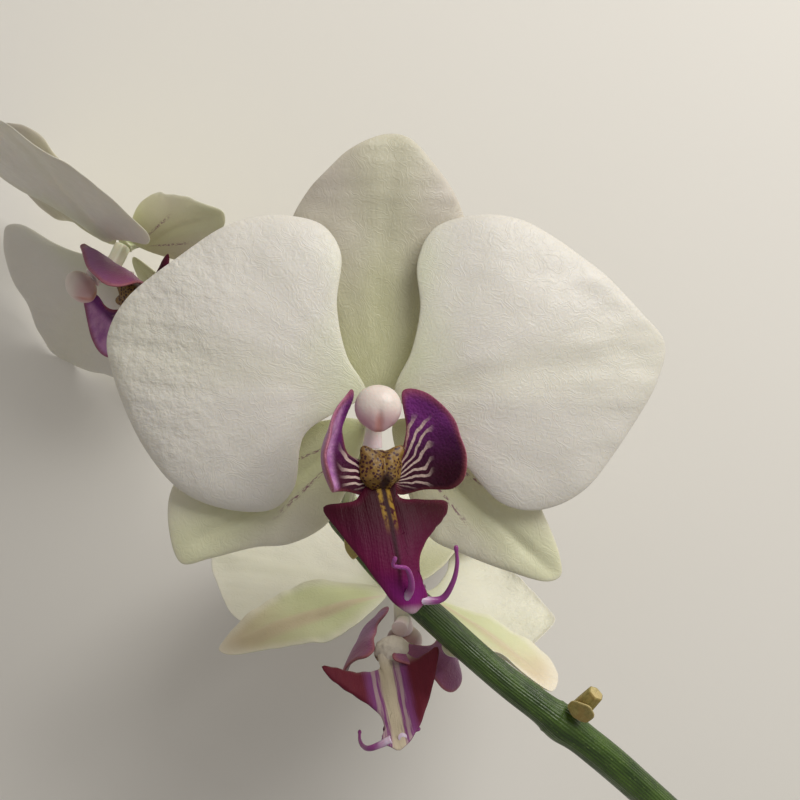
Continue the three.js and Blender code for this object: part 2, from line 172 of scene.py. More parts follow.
def ring_faces(rings: int, around: int, first: int = 0) -> Array:
    """The quads between rings of points that follow each other, each ring closed on itself."""
    ring = np.arange(rings - 1)[:, None] * around + first
    k = np.arange(around)[None, :]
    right = (k + 1) % around
    return np.stack([ring + k, ring + right, ring + around + right, ring + around + k], -1).reshape(-1, 4)


def fan_faces(middle: int, ring: int, around: int, flip: bool) -> Array:
    """The triangles between a middle point and the ring of points that starts at ring."""
    k = np.arange(around)
    right = (k + 1) % around
    pair = (ring + right, ring + k) if flip else (ring + k, ring + right)
    return np.stack([np.full(around, middle), *pair], axis=1)


def blade(mid: Array, thickness: Array, pattern: Array) -> Skin:
    """A thin blade round a middle surface. The front and back stand half the thickness off it,
    along its normal, and they meet in the rim, so the blade is one closed surface.

    Args:
        mid: The middle surface, (rings, spokes, 3). Its first ring is the hub, repeated.
        thickness: The blade's thickness there, (rings, spokes). The last ring's isn't used.
        pattern: The finish's coordinates there, (rings, spokes, 3).
    """
    rings, spokes, _ = mid.shape
    outward = np.gradient(mid, axis=0)
    around = np.roll(mid, -1, axis=1) - np.roll(mid, 1, axis=1)
    normal = unit(np.cross(outward, around))
    normal[0] = unit(normal[1].mean(axis=0))
    if normal[..., 2].mean() < 0:
        normal = -normal
    shift = normal * thickness[..., None] / 2
    front, back = mid + shift, mid - shift
    points = np.concatenate(
        [front[0, :1], front[1:-1].reshape(-1, 3), mid[-1], back[-2:0:-1].reshape(-1, 3), back[0, :1]]
    )
    flat = np.concatenate(
        [
            pattern[0, :1],
            pattern[1:-1].reshape(-1, 3),
            pattern[-1],
            pattern[-2:0:-1].reshape(-1, 3),
            pattern[0, :1],
        ]
    )
    inner = (rings - 2) * spokes
    side = np.concatenate([np.ones(1 + inner), np.zeros(spokes), -np.ones(inner + 1)])
    count = len(points)
    faces = [
        ring_faces(2 * rings - 3, spokes, 1),
        fan_faces(0, 1, spokes, True),
        fan_faces(count - 1, count - 1 - spokes, spokes, False),
    ]
    return Skin(points, faces, flat, side).facing_out()


def disc_grid(outline: Points, hub: Points, spokes: int, rings: int) -> tuple[Array, Array]:
    """Fills a smooth closed outline with rings that shrink to a hub, closer together at the rim.

    Returns:
        The grid's points, (rings + 1, spokes, 2), and each ring's share of the way to the rim.
    """
    rim = smooth_curve(np.array(outline, float), closed=True)
    rim = evenly(np.concatenate([rim, rim[:1]]), np.arange(spokes) / spokes)
    share = (1 - (1 - np.linspace(0, 1, rings + 1)) ** 1.5)[:, None, None]
    return np.array(hub) + share * (rim - np.array(hub)), share[..., 0] + np.zeros((rings + 1, spokes))


def rim_taper(share: Array, sharpness: float = 14.0) -> Array:
    """A round edge: sqrt(1 - share to a high power), which is 1 inside and 0 on the rim."""
    return np.sqrt(np.maximum(1 - share**sharpness, 0))


def tube(path: Array, radius: Array, reference: tuple[float, float, float], slant: float = 0.0) -> Skin:
    """A tube carried along a path, closed at both ends by a slightly domed face. Its section's
    sides are the tangent crossed with a reference direction, and that crossed with the tangent.

    Args:
        path: Points along its middle, (n, 3).
        radius: Its radius at each point and in each direction round it, (n, m).
        reference: A direction that the path never runs along.
        slant: How far the first end leans, in millimetres, as a knife cut does.

    Returns:
        The tube. Its pattern is the share of its length, the share of the turn, and 1 on its ends.
    """
    steps, around = radius.shape
    tangent = unit(np.gradient(path, axis=0))
    side = unit(np.cross(tangent, np.array(reference)))
    up = np.cross(side, tangent)
    turn = np.arange(around) * 2 * math.pi / around
    spoke = side[:, None] * np.cos(turn)[:, None] + up[:, None] * np.sin(turn)[:, None]
    body = path[:, None] + spoke * radius[..., None]
    body[0] += tangent[0] * (slant * np.sin(turn))[:, None]
    lip_in = 0.86
    first = path[0] + (body[0] - path[0]) * lip_in - tangent[0] * 0.12
    last = path[-1] + (body[-1] - path[-1]) * lip_in + tangent[-1] * 0.12
    rows = np.concatenate([first[None], body, last[None]])
    middles = np.stack([path[0] + tangent[0] * 0.25, path[-1] - tangent[-1] * 0.1])
    along = np.concatenate([[0], np.linspace(0, 1, steps), [1]])[:, None] + np.zeros((1, around))
    ends = np.concatenate([[1.0], np.zeros(steps), [1.0]])[:, None] + np.zeros((1, around))
    turns = np.zeros((steps + 2, 1)) + (turn / (2 * math.pi))[None]
    pattern = np.stack([along, turns, ends], -1).reshape(-1, 3)
    pattern = np.concatenate([pattern, [[0, 0.5, 1], [1, 0.5, 1]]])
    points = np.concatenate([rows.reshape(-1, 3), middles])
    count = len(points)
    faces = [
        ring_faces(steps + 2, around),
        fan_faces(count - 2, 0, around, True),
        fan_faces(count - 1, count - 2 - around, around, False),
    ]
    return Skin(points, faces, pattern, np.ones(count)).facing_out()


def ball_grid(across: int, up: int) -> tuple[Array, Array]:
    """Unit directions on a ball, rings from the bottom pole to the top one, and their ring count."""
    tilt = (np.arange(1, up) / up - 0.5)[:, None] * math.pi
    turn = (np.arange(across) / across)[None, :] * 2 * math.pi
    flat = np.cos(tilt)
    grid = np.stack([flat * np.cos(turn), flat * np.sin(turn), np.sin(tilt) + 0 * turn], -1)
    poles = np.array([[0.0, 0.0, -1.0], [0.0, 0.0, 1.0]])
    return np.concatenate([grid.reshape(-1, 3), poles]), np.array([up - 1, across])


def ball(directions: Array, counts: Array, points: Array) -> Skin:
    """A closed ball from its moved points. Its pattern is the direction of each point."""
    rings, around = (int(n) for n in counts)
    count = len(points)
    faces = [
        ring_faces(rings, around),
        fan_faces(count - 2, 0, around, True),
        fan_faces(count - 1, (rings - 1) * around, around, False),
    ]
    return Skin(points, faces, directions, np.ones(count)).facing_out()


# ------------------------------------------------------------------------------------------------
# Finishes


def linear(code: str, alpha: float = 1.0) -> tuple[float, float, float, float]:
    """An sRGB hex colour as linear light."""
    parts = [int(code.lstrip("#")[k : k + 2], 16) / 255 for k in (0, 2, 4)]
    red, green, blue = (c / 12.92 if c <= 0.04045 else ((c + 0.055) / 1.055) ** 2.4 for c in parts)
    return red, green, blue, alpha


@dataclass
class Shader:
    """A new material's node tree, with its Principled shader."""

    name: str
    material: bpy.types.Material = field(init=False)
    tree: bpy.types.NodeTree = field(init=False)
    shader: bpy.types.Node = field(init=False)

    def __post_init__(self) -> None:
        """Makes the material and finds its shader."""
        self.material = bpy.data.materials.new(self.name)
        self.material.use_nodes = True
        self.tree = self.material.node_tree
        self.shader = self.tree.nodes["Principled BSDF"]

    def add(self, kind: str, inputs: dict | None = None, **settings: object) -> bpy.types.Node:
        """Adds a node, sets its settings, and fills its inputs by name or number.

        Args:
            kind: The node's type, without "ShaderNode".
            inputs: A socket to link or a value, by input name or number.
            settings: The node's own settings.

        Returns:
            The node.
        """
        node = self.tree.nodes.new("ShaderNode" + kind)
        for name, value in settings.items():
            setattr(node, name, value)
        for name, value in (inputs or {}).items():
            if isinstance(value, bpy.types.NodeSocket):
                self.tree.links.new(value, node.inputs[name])
            else:
                node.inputs[name].default_value = value
        return node

    def mixed(self, share: object, first: object, second: object, blend: str = "MIX") -> bpy.types.NodeSocket:
        """Two colours mixed by a share."""
        inputs = {0: share, 6: first, 7: second}
        return self.add("Mix", inputs, data_type="RGBA", blend_type=blend).outputs[2]

    def maths(self, operation: str, *values: object, clamp: bool = False) -> bpy.types.NodeSocket:
        """One operation on one to three numbers."""
        return self.add("Math", dict(enumerate(values)), operation=operation, use_clamp=clamp).outputs[0]

    def ranged(
        self, value: object, low: float, high: float, to_low: float = 0.0, to_high: float = 1.0
    ) -> bpy.types.NodeSocket:
        """A number taken smoothly from one range to another."""
        inputs = {0: value, 1: low, 2: high, 3: to_low, 4: to_high}
        return self.add("MapRange", inputs, interpolation_type="SMOOTHSTEP").outputs[0]

    def pattern(self) -> tuple[bpy.types.NodeSocket, ...]:
        """The piece's own coordinates: the vector and its three numbers."""
        vector = self.add("Attribute", attribute_name="pattern").outputs["Vector"]
        parts = self.add("SeparateXYZ", {0: vector}).outputs
        return vector, parts[0], parts[1], parts[2]

    def side(self) -> bpy.types.NodeSocket:
        """1 on a blade's front and -1 on its back."""
        return self.add("Attribute", attribute_name="side").outputs["Fac"]

    def place(self) -> bpy.types.NodeSocket:
        """The place on the piece, in metres."""
        return self.add("TexCoord").outputs["Object"]

    def stretched(self, vector: object, scale: tuple[float, float, float]) -> bpy.types.NodeSocket:
        """A vector with its three numbers scaled."""
        return self.add("Mapping", {0: vector, 3: scale}).outputs[0]

    def noise(self, vector: object, size: float, detail: float = 2.0) -> bpy.types.NodeSocket:
        """Cloudy noise whose patches are about one size across."""
        inputs = {"Vector": vector, "Scale": 1 / size, "Detail": detail, "Roughness": 0.5}
        return self.add("TexNoise", inputs).outputs[0]

    def cells(self, vector: object, size: float, feature: str = "F1") -> bpy.types.NodeSocket:
        """Rounded cells about one size across: the distance to the cell's middle or to its edge."""
        inputs = {"Vector": vector, "Scale": 1 / size}
        return self.add("TexVoronoi", inputs, feature=feature).outputs["Distance"]

    def bumped(self, height: object, depth: float, below: object = None) -> bpy.types.NodeSocket:
        """A normal raised by a height that is worth one depth, in metres."""
        inputs = {"Height": height, "Distance": depth, "Strength": 1.0}
        if below is not None:
            inputs["Normal"] = below
        return self.add("Bump", inputs).outputs[0]

    def dress(self, **sockets: object) -> bpy.types.Material:
        """Fills the shader's inputs, with _ for a space in a name, and returns the material."""
        for name, value in sockets.items():
            socket = self.shader.inputs[name.replace("_", " ")]
            if isinstance(value, bpy.types.NodeSocket):
                self.tree.links.new(value, socket)
            else:
                socket.default_value = value
        return self.material


@dataclass(frozen=True)
class WaxyPetal:
    """Petal or sepal tissue: thin, white, moist and waxy, over a fan of raised veins. Its domed
    skin cells glint where the light is low, and the green of the claw fades outwards.

    Attributes:
        name: The finish's name.
        flesh: The colour of the blade.
        claw: The colour at its root.
        midrib: The colour along its middle, which fades to the sides.
        midrib_share: How strong that is, from 0 to 1.
        claw_reach: How far the root's colour reaches, as a share of the length.
        back: The colour of its back.
        dotted: Whether two rows of purple dots run out from the root.
        cell_mm: The skin cells' size, drawn coarser than the real 0.1 mm so that it shows.
        pebble_depth: How far swollen patches stand out on its outer half, in metres.
        row_angle: The angle between a row of dots and the middle of the blade, in radians.
    """

    name: str
    flesh: str = "#dcd8d1"
    claw: str = "#ced1b2"
    midrib: str = "#dcdcb8"
    midrib_share: float = 0.15
    claw_reach: float = 0.35
    back: str = "#e4e2d2"
    dotted: bool = False
    cell_mm: float = 0.55
    pebble_depth: float = 0.0
    row_angle: float = 0.17

    def build(self) -> bpy.types.Material:
        """Makes the material."""
        s = Shader(self.name)
        vector, fan, reach, rim = s.pattern()
        place = s.place()
        # Veins: cell edges stretched along the fan, about 2 mm apart in the middle of the blade
        wobble = s.noise(place, 0.006)
        sideways = s.add("CombineXYZ", {0: wobble}).outputs[0]
        wavy = s.add("VectorMath", {0: vector, 1: sideways}, operation="ADD")
        net = s.cells(s.stretched(wavy.outputs[0], (16.0, 2.2, 0.0)), 1.0, "DISTANCE_TO_EDGE")
        vein = s.ranged(net, 0.0, 0.12, 1.0, 0.0)
        streak = s.noise(s.stretched(vector, (42.0, 2.0, 0.0)), 1.0, 3.0)
        colour = s.mixed(s.ranged(s.side(), -1.0, 1.0), linear(self.back), linear(self.flesh))
        near_rib = s.ranged(s.maths("ABSOLUTE", fan), 0.03, 0.3, self.midrib_share, 0.0)
        colour = s.mixed(near_rib, colour, linear(self.midrib))
        uneven = s.maths("MULTIPLY_ADD", s.noise(place, 0.011), 0.24, -0.12)
        root = s.ranged(s.maths("ADD", reach, uneven), 0.0, self.claw_reach, 1.0, 0.0)
        colour = s.mixed(root, colour, linear(self.claw))
        colour = s.mixed(s.maths("MULTIPLY", vein, 0.06), colour, linear("#cdcfb4"))
        colour = s.mixed(s.maths("MULTIPLY", s.noise(place, 0.017), 0.16), colour, linear("#c6c3ba"))
        # Painted shade: the thin rim is drawn a little greyer, as light shines through it there instead of
        # off it.
        colour = s.mixed(s.ranged(rim, 0.93, 1.0, 0.0, 0.3), colour, linear("#d9d2c6"))
        if self.dotted:
            from_row = s.maths("ABSOLUTE", s.maths("SUBTRACT", s.maths("ABSOLUTE", fan), self.row_angle))
            rows = s.ranged(from_row, 0.0, 0.03, 1.0, 0.0)
            span = s.maths("MULTIPLY", s.ranged(reach, 0.1, 0.2), s.ranged(reach, 0.42, 0.6, 1.0, 0.0))
            broken = s.ranged(s.noise(s.stretched(vector, (60.0, 45.0, 0.0)), 1.0), 0.46, 0.56)
            dots = s.maths("MULTIPLY", s.maths("MULTIPLY", rows, span), broken)
            front_only = s.ranged(s.side(), 0.1, 0.6, 0.0, 0.85)
            colour = s.mixed(s.maths("MULTIPLY", dots, front_only), colour, linear("#7d3f63"))
            keel = s.ranged(s.maths("ABSOLUTE", s.maths("ADD", fan, 0.03)), 0.02, 0.16, 0.5, 0.0)
            blush = s.ranged(s.maths("ADD", reach, uneven), 0.45, 1.0, 0.0, 0.6)
            back_only = s.ranged(s.side(), -0.6, -0.1, 1.0, 0.0)
            keel = s.maths("MULTIPLY", s.maths("MAXIMUM", keel, blush), back_only)
            colour = s.mixed(keel, colour, linear("#d3b3a2"))
            pale = s.maths("MULTIPLY", s.ranged(rim, 0.7, 1.0, 0.0, 0.55), back_only)
            colour = s.mixed(pale, colour, linear("#ece8da"))
        pores = s.cells(place, self.cell_mm * MM)
        normal = s.bumped(s.noise(place, 0.0042, 2.0), 0.00007)
        normal = s.bumped(streak, 0.00004, normal)
        normal = s.bumped(vein, 0.00002, normal)
        normal = s.bumped(s.maths("POWER", pores, 2.0), -0.000025, normal)
        if self.pebble_depth > 0:
            pebble = s.maths("MULTIPLY", s.noise(place, 0.0016, 3.0), s.ranged(reach, 0.35, 0.8))
            normal = s.bumped(pebble, self.pebble_depth, normal)
        gloss = s.ranged(s.noise(place, 0.002), 0.3, 0.7, 0.34, 0.5)
        return s.dress(
            Base_Color=colour,
            Roughness=gloss,
            Normal=normal,
            Subsurface_Weight=0.18,
            Subsurface_Radius=(1.0, 0.85, 0.6),
            Subsurface_Scale=0.0012,
            Specular_IOR_Level=0.42,
        )


@dataclass(frozen=True)
class LipMidLobe:
    """The mid-lobe's velvety front, maroon at the claw and magenta at the end, with two yellow
    streaks below the callus, and its waxy back, a cream keel between purple flanks."""

    name: str = "orchid_lip_midlobe"

    def build(self) -> bpy.types.Material:
        """Makes the material. The pattern is the share of the way down, the distance from the
        keel in centimetres, and the share of the way to the rim."""
        s = Shader(self.name)
        vector, down, off, rim = s.pattern()
        place = s.place()
        off_abs = s.maths("ABSOLUTE", off)
        streak = s.noise(s.stretched(vector, (5.0, 34.0, 0.0)), 1.0, 3.0)
        front = s.mixed(s.ranged(down, 0.12, 0.75), linear("#35050f"), linear("#6c0f45"))
        front = s.mixed(s.ranged(down, 0.6, 0.85, 0.0, 0.8), front, linear("#86207c"))
        # Painted highlight: the very end of the mid-lobe is drawn nearly white, where light glints on it.
        front = s.mixed(s.ranged(down, 0.87, 0.95, 0.0, 0.9), front, linear("#e6d3e2"))
        front = s.mixed(s.ranged(rim, 0.8, 1.0, 0.0, 0.45), front, linear("#7a2446"))
        front = s.mixed(s.maths("MULTIPLY", streak, 0.45), front, linear("#2e0617"))
        # A dark furrow 1.9 mm to the left of the keel, with a yellow streak along each side
        from_line = s.maths("ABSOLUTE", s.maths("ADD", off, 0.19))
        upper = s.ranged(down, 0.85, 0.6, 0.0, 1.0)
        furrow = s.maths("MULTIPLY", s.ranged(from_line, 0.0, 0.07, 0.8, 0.0), upper)
        front = s.mixed(furrow, front, linear("#23030a"))
        band = s.ranged(s.maths("ABSOLUTE", s.maths("SUBTRACT", from_line, 0.07)), 0.015, 0.055, 1.0, 0.0)
        patchy = s.ranged(s.noise(place, 0.0011), 0.34, 0.55)
        gold = s.maths("MULTIPLY", s.maths("MULTIPLY", band, patchy), s.ranged(down, 0.2, 0.42, 1.0, 0.0))
        front = s.mixed(gold, front, linear("#94742a"))
        wavy = s.maths("MULTIPLY_ADD", streak, 0.16, s.maths("SUBTRACT", off_abs, 0.08))
        back = s.mixed(s.ranged(wavy, 0.1, 0.2), linear("#d3c7ac"), linear("#8a4a86"))
        from_stripe = s.maths("ABSOLUTE", s.maths("SUBTRACT", wavy, 0.27))
        back = s.mixed(s.ranged(from_stripe, 0.02, 0.07, 0.7, 0.0), back, linear("#cdb7b4"))
        back = s.mixed(s.ranged(wavy, 0.34, 0.56), back, linear("#6f2430"))
        back = s.mixed(s.ranged(down, 0.02, 0.2, 0.9, 0.0), back, linear("#dcd2c3"))
        back = s.mixed(s.maths("MULTIPLY", streak, 0.25), back, linear("#6d3050"))
        colour = s.mixed(s.ranged(s.side(), -0.4, 0.4), back, front)
        normal = s.bumped(streak, 0.00015)
        normal = s.bumped(s.cells(place, 0.0005), -0.00004, normal)
        return s.dress(Base_Color=colour, Normal=normal, Roughness=0.5, Specular_IOR_Level=0.14)


@dataclass(frozen=True)
class LipSideLobe:
    """A side lobe: violet above and maroon below on its hollow face, with pale branching stripes
    where it leaves the callus, a red-brown rim, and a lilac back. From a share of the way out, its
    hollow face can be as lilac as its back."""

    name: str = "orchid_lip_side_lobe"
    lilac_from: float = 2.0
    stripes_to: float = 0.34
    stripes_up: float = 0.62

    def build(self) -> bpy.types.Material:
        """Makes the material. The pattern is the share of the way out from the base, the share of
        the way up, and the share of the way to the rim."""
        s = Shader(self.name)
        vector, out, up, rim = s.pattern()
        place = s.place()
        streak = s.noise(s.stretched(vector, (4.0, 11.0, 0.0)), 1.0, 3.0)
        front = s.mixed(s.ranged(up, 0.2, 0.85), linear("#3f0a22"), linear("#7a2c80"))
        front = s.mixed(s.ranged(s.maths("ADD", up, out), 1.3, 1.75, 0.0, 0.35), front, linear("#5c1c46"))
        front = s.mixed(s.maths("MULTIPLY", streak, 0.4), front, linear("#300a2a"))
        # Stripes: bands that fan out from the callus, bent and broken by noise
        angle = s.maths("ARCTAN2", s.maths("SUBTRACT", up, 0.12), s.maths("ADD", out, 0.1))
        bent = s.maths("MULTIPLY_ADD", s.noise(s.stretched(vector, (3.0, 3.0, 0.0)), 1.0), 0.5, angle)
        wave = s.maths("SINE", s.maths("MULTIPLY", bent, 34.0))
        inner = s.ranged(out, self.stripes_to, self.stripes_to + 0.18, 1.0, 0.0)
        low = s.ranged(up, self.stripes_up, self.stripes_up + 0.18, 1.0, 0.0)
        near = s.maths("MULTIPLY", inner, low)
        stripe = s.maths("MULTIPLY", s.ranged(wave, 0.15, 0.6), near)
        stripe = s.maths("MULTIPLY", stripe, s.ranged(up, 0.05, 0.14))
        front = s.mixed(stripe, front, linear("#cdb6ad"))
        outer = s.ranged(out, self.lilac_from, self.lilac_from + 0.12)
        lilac = s.mixed(s.ranged(streak, 0.3, 0.7), linear("#a566a6"), linear("#c48fbd"))
        front = s.mixed(outer, front, lilac)
        front = s.mixed(s.ranged(rim, 0.82, 1.0, 0.0, 0.75), front, linear("#86414a"))
        back = s.mixed(s.ranged(up, 0.1, 0.8), linear("#96566f"), linear("#b587b5"))
        back = s.mixed(s.maths("MULTIPLY", streak, 0.5), back, linear("#9a58a0"))
        back = s.mixed(s.ranged(rim, 0.85, 1.0, 0.0, 0.6), back, linear("#a8665c"))
        colour = s.mixed(s.ranged(s.side(), -0.4, 0.4), back, front)
        normal = s.bumped(streak, 0.00025)
        normal = s.bumped(s.cells(place, 0.0005), -0.0001, normal)
        return s.dress(
            Base_Color=colour, Normal=normal, Roughness=0.4, Subsurface_Weight=0.08,
            Subsurface_Radius=(1.0, 0.4, 0.5), Subsurface_Scale=0.0008, Specular_IOR_Level=0.3,
        )


@dataclass(frozen=True)
class SpottedCallus:
    """The callus: firm warty yellow tissue with round maroon spots about half a millimetre wide."""

    name: str = "orchid_callus"
    spot_mm: float = 0.62

    def build(self) -> bpy.types.Material:
        """Makes the material."""
        s = Shader(self.name)
        place = s.place()
        spots = s.ranged(s.cells(place, self.spot_mm * MM), 0.34, 0.46, 1.0, 0.0)
        colour = s.mixed(s.noise(place, 0.0013), linear("#6a4d20"), linear("#977636"))
        colour = s.mixed(spots, colour, linear("#3a0d16"))
        _, across, up, height = s.pattern()
        # Painted shade: the lower end of the callus's middle channel is darkened almost to black, where shade
        # falls in the recess.
        lower = s.ranged(up, -0.35, 0.25, 0.9, 0.0)
        hollow = s.maths("MULTIPLY", s.ranged(s.maths("ABSOLUTE", across), 0.15, 0.42, 1.0, 0.0), lower)
        colour = s.mixed(hollow, colour, linear("#2a0a10"))
        colour = s.mixed(s.ranged(height, -0.3, 0.05, 1.0, 0.0), colour, linear("#d9cfc4"))
        normal = s.bumped(s.noise(place, 0.0007), 0.0002)
        return s.dress(Base_Color=colour, Normal=normal, Roughness=0.45)


@dataclass(frozen=True)
class FleshyTissue:
    """Smooth, moist tissue that lets light in, as a column, cap or tendril has: one colour that
    turns into another along the piece.

    Attributes:
        name: The finish's name.
        first: The colour where the chosen number is low.
        last: The colour where it is high.
        low: The low number.
        high: The high number.
        axis: Which of the pattern's three numbers is read.
        crease: Whether a salmon crease runs up its middle from below, as on an anther cap.
    """

    name: str
    first: str
    last: str
    low: float
    high: float
    axis: int = 0
    crease: bool = False

    def build(self) -> bpy.types.Material:
        """Makes the material."""
        s = Shader(self.name)
        place = s.place()
        value = s.maths("MULTIPLY_ADD", s.noise(place, 0.002), 0.25, s.pattern()[1 + self.axis])
        share = s.ranged(value, self.low + 0.12, self.high + 0.12)
        colour = s.mixed(share, linear(self.first), linear(self.last))
        colour = s.mixed(s.maths("MULTIPLY", s.noise(place, 0.0008), 0.12), colour, linear("#b98fa0"))
        if self.crease:
            _, across, up, _ = s.pattern()
            middle = s.ranged(s.maths("ABSOLUTE", across), 0.02, 0.3, 1.0, 0.0)
            beak = s.maths("MULTIPLY", middle, s.ranged(up, -0.75, 0.0, 0.8, 0.0))
            colour = s.mixed(beak, colour, linear("#c98a80"))
        normal = s.bumped(s.noise(place, 0.0006), 0.00006)
        return s.dress(
            Base_Color=colour, Normal=normal, Roughness=0.32, Subsurface_Weight=0.3,
            Subsurface_Radius=(1.0, 0.6, 0.5), Subsurface_Scale=0.0015,
        )


@dataclass(frozen=True)
class GreenStem:
    """A living stem's skin: smooth, waxy and finely ribbed along its length, green with paler
    flecks and darker streaks, lighter and yellower at a cut.

    Attributes:
        name: The finish's name.
        dark: The darker green.
        light: The lighter green.
        cut: The colour of a cut end.
        ribs: Fine ribs round the stem.
        length_mm: Its length, which sizes the streaks.
    """

    name: str
    dark: str = "#22380c"
    light: str = "#45601c"
    cut: str = "#b9c58a"
    ribs: float = 34.0
    length_mm: float = 263.0

    def build(self) -> bpy.types.Material:
        """Makes the material."""
        s = Shader(self.name)
        vector, _, turn, end = s.pattern()
        place = s.place()
        streak = s.noise(s.stretched(vector, (self.length_mm / 9, self.ribs / 3, 0.0)), 1.0, 4.0)
        colour = s.mixed(s.ranged(streak, 0.3, 0.72), linear(self.dark), linear(self.light))
        blotch = s.ranged(s.noise(place, 0.009), 0.35, 0.75, 0.0, 0.35)
        colour = s.mixed(blotch, colour, linear(self.light))
        speckle = s.cells(s.stretched(vector, (self.length_mm / 1.6, self.ribs, 0.0)), 1.0)
        fleck = s.ranged(speckle, 0.16, 0.26, 0.5, 0.0)
        colour = s.mixed(fleck, colour, linear("#5f7434"))
        colour = s.mixed(end, colour, linear(self.cut))
        rib = s.maths("SINE", s.maths("MULTIPLY", turn, self.ribs * 2 * math.pi))
        normal = s.bumped(rib, 0.00004)
        normal = s.bumped(s.noise(place, 0.0009, 3.0), 0.00012, normal)
        gloss = s.ranged(s.noise(place, 0.003), 0.3, 0.7, 0.3, 0.46)
        return s.dress(
            Base_Color=colour, Normal=normal, Roughness=gloss, Subsurface_Weight=0.08,
            Subsurface_Radius=(0.5, 1.0, 0.3), Subsurface_Scale=0.001,
        )


@dataclass(frozen=True)
class DryScale:
    """A dried bract or stub: papery tan and olive tissue with brown fibres and a darker edge."""

    name: str = "orchid_dry_scale"

    def build(self) -> bpy.types.Material:
        """Makes the material."""
        s = Shader(self.name)
        vector, _, _, rim = s.pattern()
        place = s.place()
        fibre = s.noise(s.stretched(vector, (3.0, 26.0, 3.0)), 1.0, 4.0)
        colour = s.mixed(fibre, linear("#6f6a2c"), linear("#c1ad6a"))
        colour = s.mixed(s.ranged(s.noise(place, 0.0022), 0.4, 0.7, 0.0, 0.7), colour, linear("#a08245"))
        colour = s.mixed(s.ranged(rim, 0.86, 1.0, 0.0, 0.6), colour, linear("#d9c68f"))
        normal = s.bumped(fibre, 0.0003)
        normal = s.bumped(s.noise(place, 0.0006), 0.0001, normal)
        return s.dress(Base_Color=colour, Normal=normal, Roughness=0.68)


@dataclass(frozen=True)
class PaleTable:
    """A matt painted table top: warm pale beige, with a very slight mottle."""

    name: str = "pale_table"

    def build(self) -> bpy.types.Material:
        """Makes the material."""
        s = Shader(self.name)
        cloud = s.noise(s.place(), 0.18)
        colour = s.mixed(cloud, linear("#ebe7e1"), linear("#f0ede7"))
        return s.dress(Base_Color=colour, Roughness=0.75)


class Finish(Enum):
    """The finishes of the spike, each built once."""

    PETAL = WaxyPetal("orchid_petal")
    PEBBLED_PETAL = WaxyPetal("orchid_pebbled_petal", pebble_depth=0.00034)
    # Painted shade: the dorsal sepal's flesh, claw and midrib colours are darker than the petal's, for the
    # shade it lies in behind the petals.
    DORSAL = WaxyPetal(
        "orchid_dorsal_sepal_painted_shade", flesh="#beb6ab", claw="#b6b68c", midrib="#b9bb90", midrib_share=0.4,
        claw_reach=0.85,
    )
    SEPAL = WaxyPetal(
        "orchid_lateral_sepal", flesh="#dad6c5", claw="#cbd09a", midrib="#c9cd98", midrib_share=0.5,
        claw_reach=0.7, back="#d9dcb0", dotted=True,
    )
    MIDLOBE = LipMidLobe()
    SIDE_LOBE = LipSideLobe()
    LEFT_LOBE = LipSideLobe("orchid_lip_left_lobe", lilac_from=0.42, stripes_to=0.26, stripes_up=0.5)
    CALLUS = SpottedCallus()
    TENDRIL = FleshyTissue("orchid_tendril", "#dcc6dc", "#86307f", 0.0, 0.28)
    CAP = FleshyTissue("orchid_anther_cap", "#cfa9ad", "#e2d6cd", -0.8, 0.2, axis=1, crease=True)
    COLUMN = FleshyTissue("orchid_column", "#dfe0c4", "#ead9dc", 0.1, 0.9)
    STEM = GreenStem("orchid_stem")
    STALK = GreenStem(
        "orchid_stalk", dark="#a9b57d", light="#e3dccb", cut="#d5d9b0", ribs=12.0, length_mm=45.0
    )
    SCALE = DryScale()
    TABLE = PaleTable()

    def material(self) -> bpy.types.Material:
        """The finish's material, made on first use."""
        return bpy.data.materials.get(self.value.name) or self.value.build()


# ------------------------------------------------------------------------------------------------
# Pieces


@dataclass
class Spot:
    """Where the spike's layout lies in the frame, in metres."""

    origin: Array

    @classmethod
    def from_cap(cls, flower: "Flower") -> "Spot":
        """Finds it from the anther cap of the flower, whose box is centred on the cap."""
        low, high = (np.array(corner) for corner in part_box(f"{flower.key}_anther_cap"))
        cap = flower.position + np.array(AntherCap.centre) @ flower.axes()
        return cls((low + high) / 2 - cap * MM)


def piece(name: str, parts: list[tuple[Skin, Finish]], spot: Spot, slot: str) -> bpy.types.Object:
    """Makes one object from closed surfaces, puts it in the place of its node, and reports it.

    Args:
        name: The node that it stands for, which is its name too.
        parts: Its surfaces in the spike's layout, each with its finish.
        spot: Where the layout lies.
        slot: The record's material slot. Not used.

    Returns:
        The object.
    """
    points = np.concatenate([skin.points for skin, _ in parts]) * MM + spot.origin
    faces, slots, first = [], [], 0
    for number, (skin, _) in enumerate(parts):
        for corners in skin.faces:
            faces += (corners + first).tolist()
            slots += [number] * len(corners)
        first += len(skin.points)
    mesh = bpy.data.meshes.new(name + "_look")
    mesh.from_pydata(points.tolist(), [], faces)
    mesh.polygons.foreach_set("material_index", slots)
    mesh.polygons.foreach_set("use_smooth", [True] * len(faces))
    pattern = np.concatenate([skin.pattern for skin, _ in parts])
    side = np.concatenate([skin.side for skin, _ in parts])
    mesh.attributes.new("pattern", "FLOAT_VECTOR", "POINT").data.foreach_set("vector", pattern.ravel())
    mesh.attributes.new("side", "FLOAT", "POINT").data.foreach_set("value", side)
    for _, finish in parts:
        mesh.materials.append(finish.material())
    mesh.update()
    made = bpy.data.objects.new(name + "_look", mesh)
    bpy.context.collection.objects.link(made)
    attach(made, "root")
    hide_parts(name)
    LOG.info("%s: %d faces", name, len(faces))
    return made


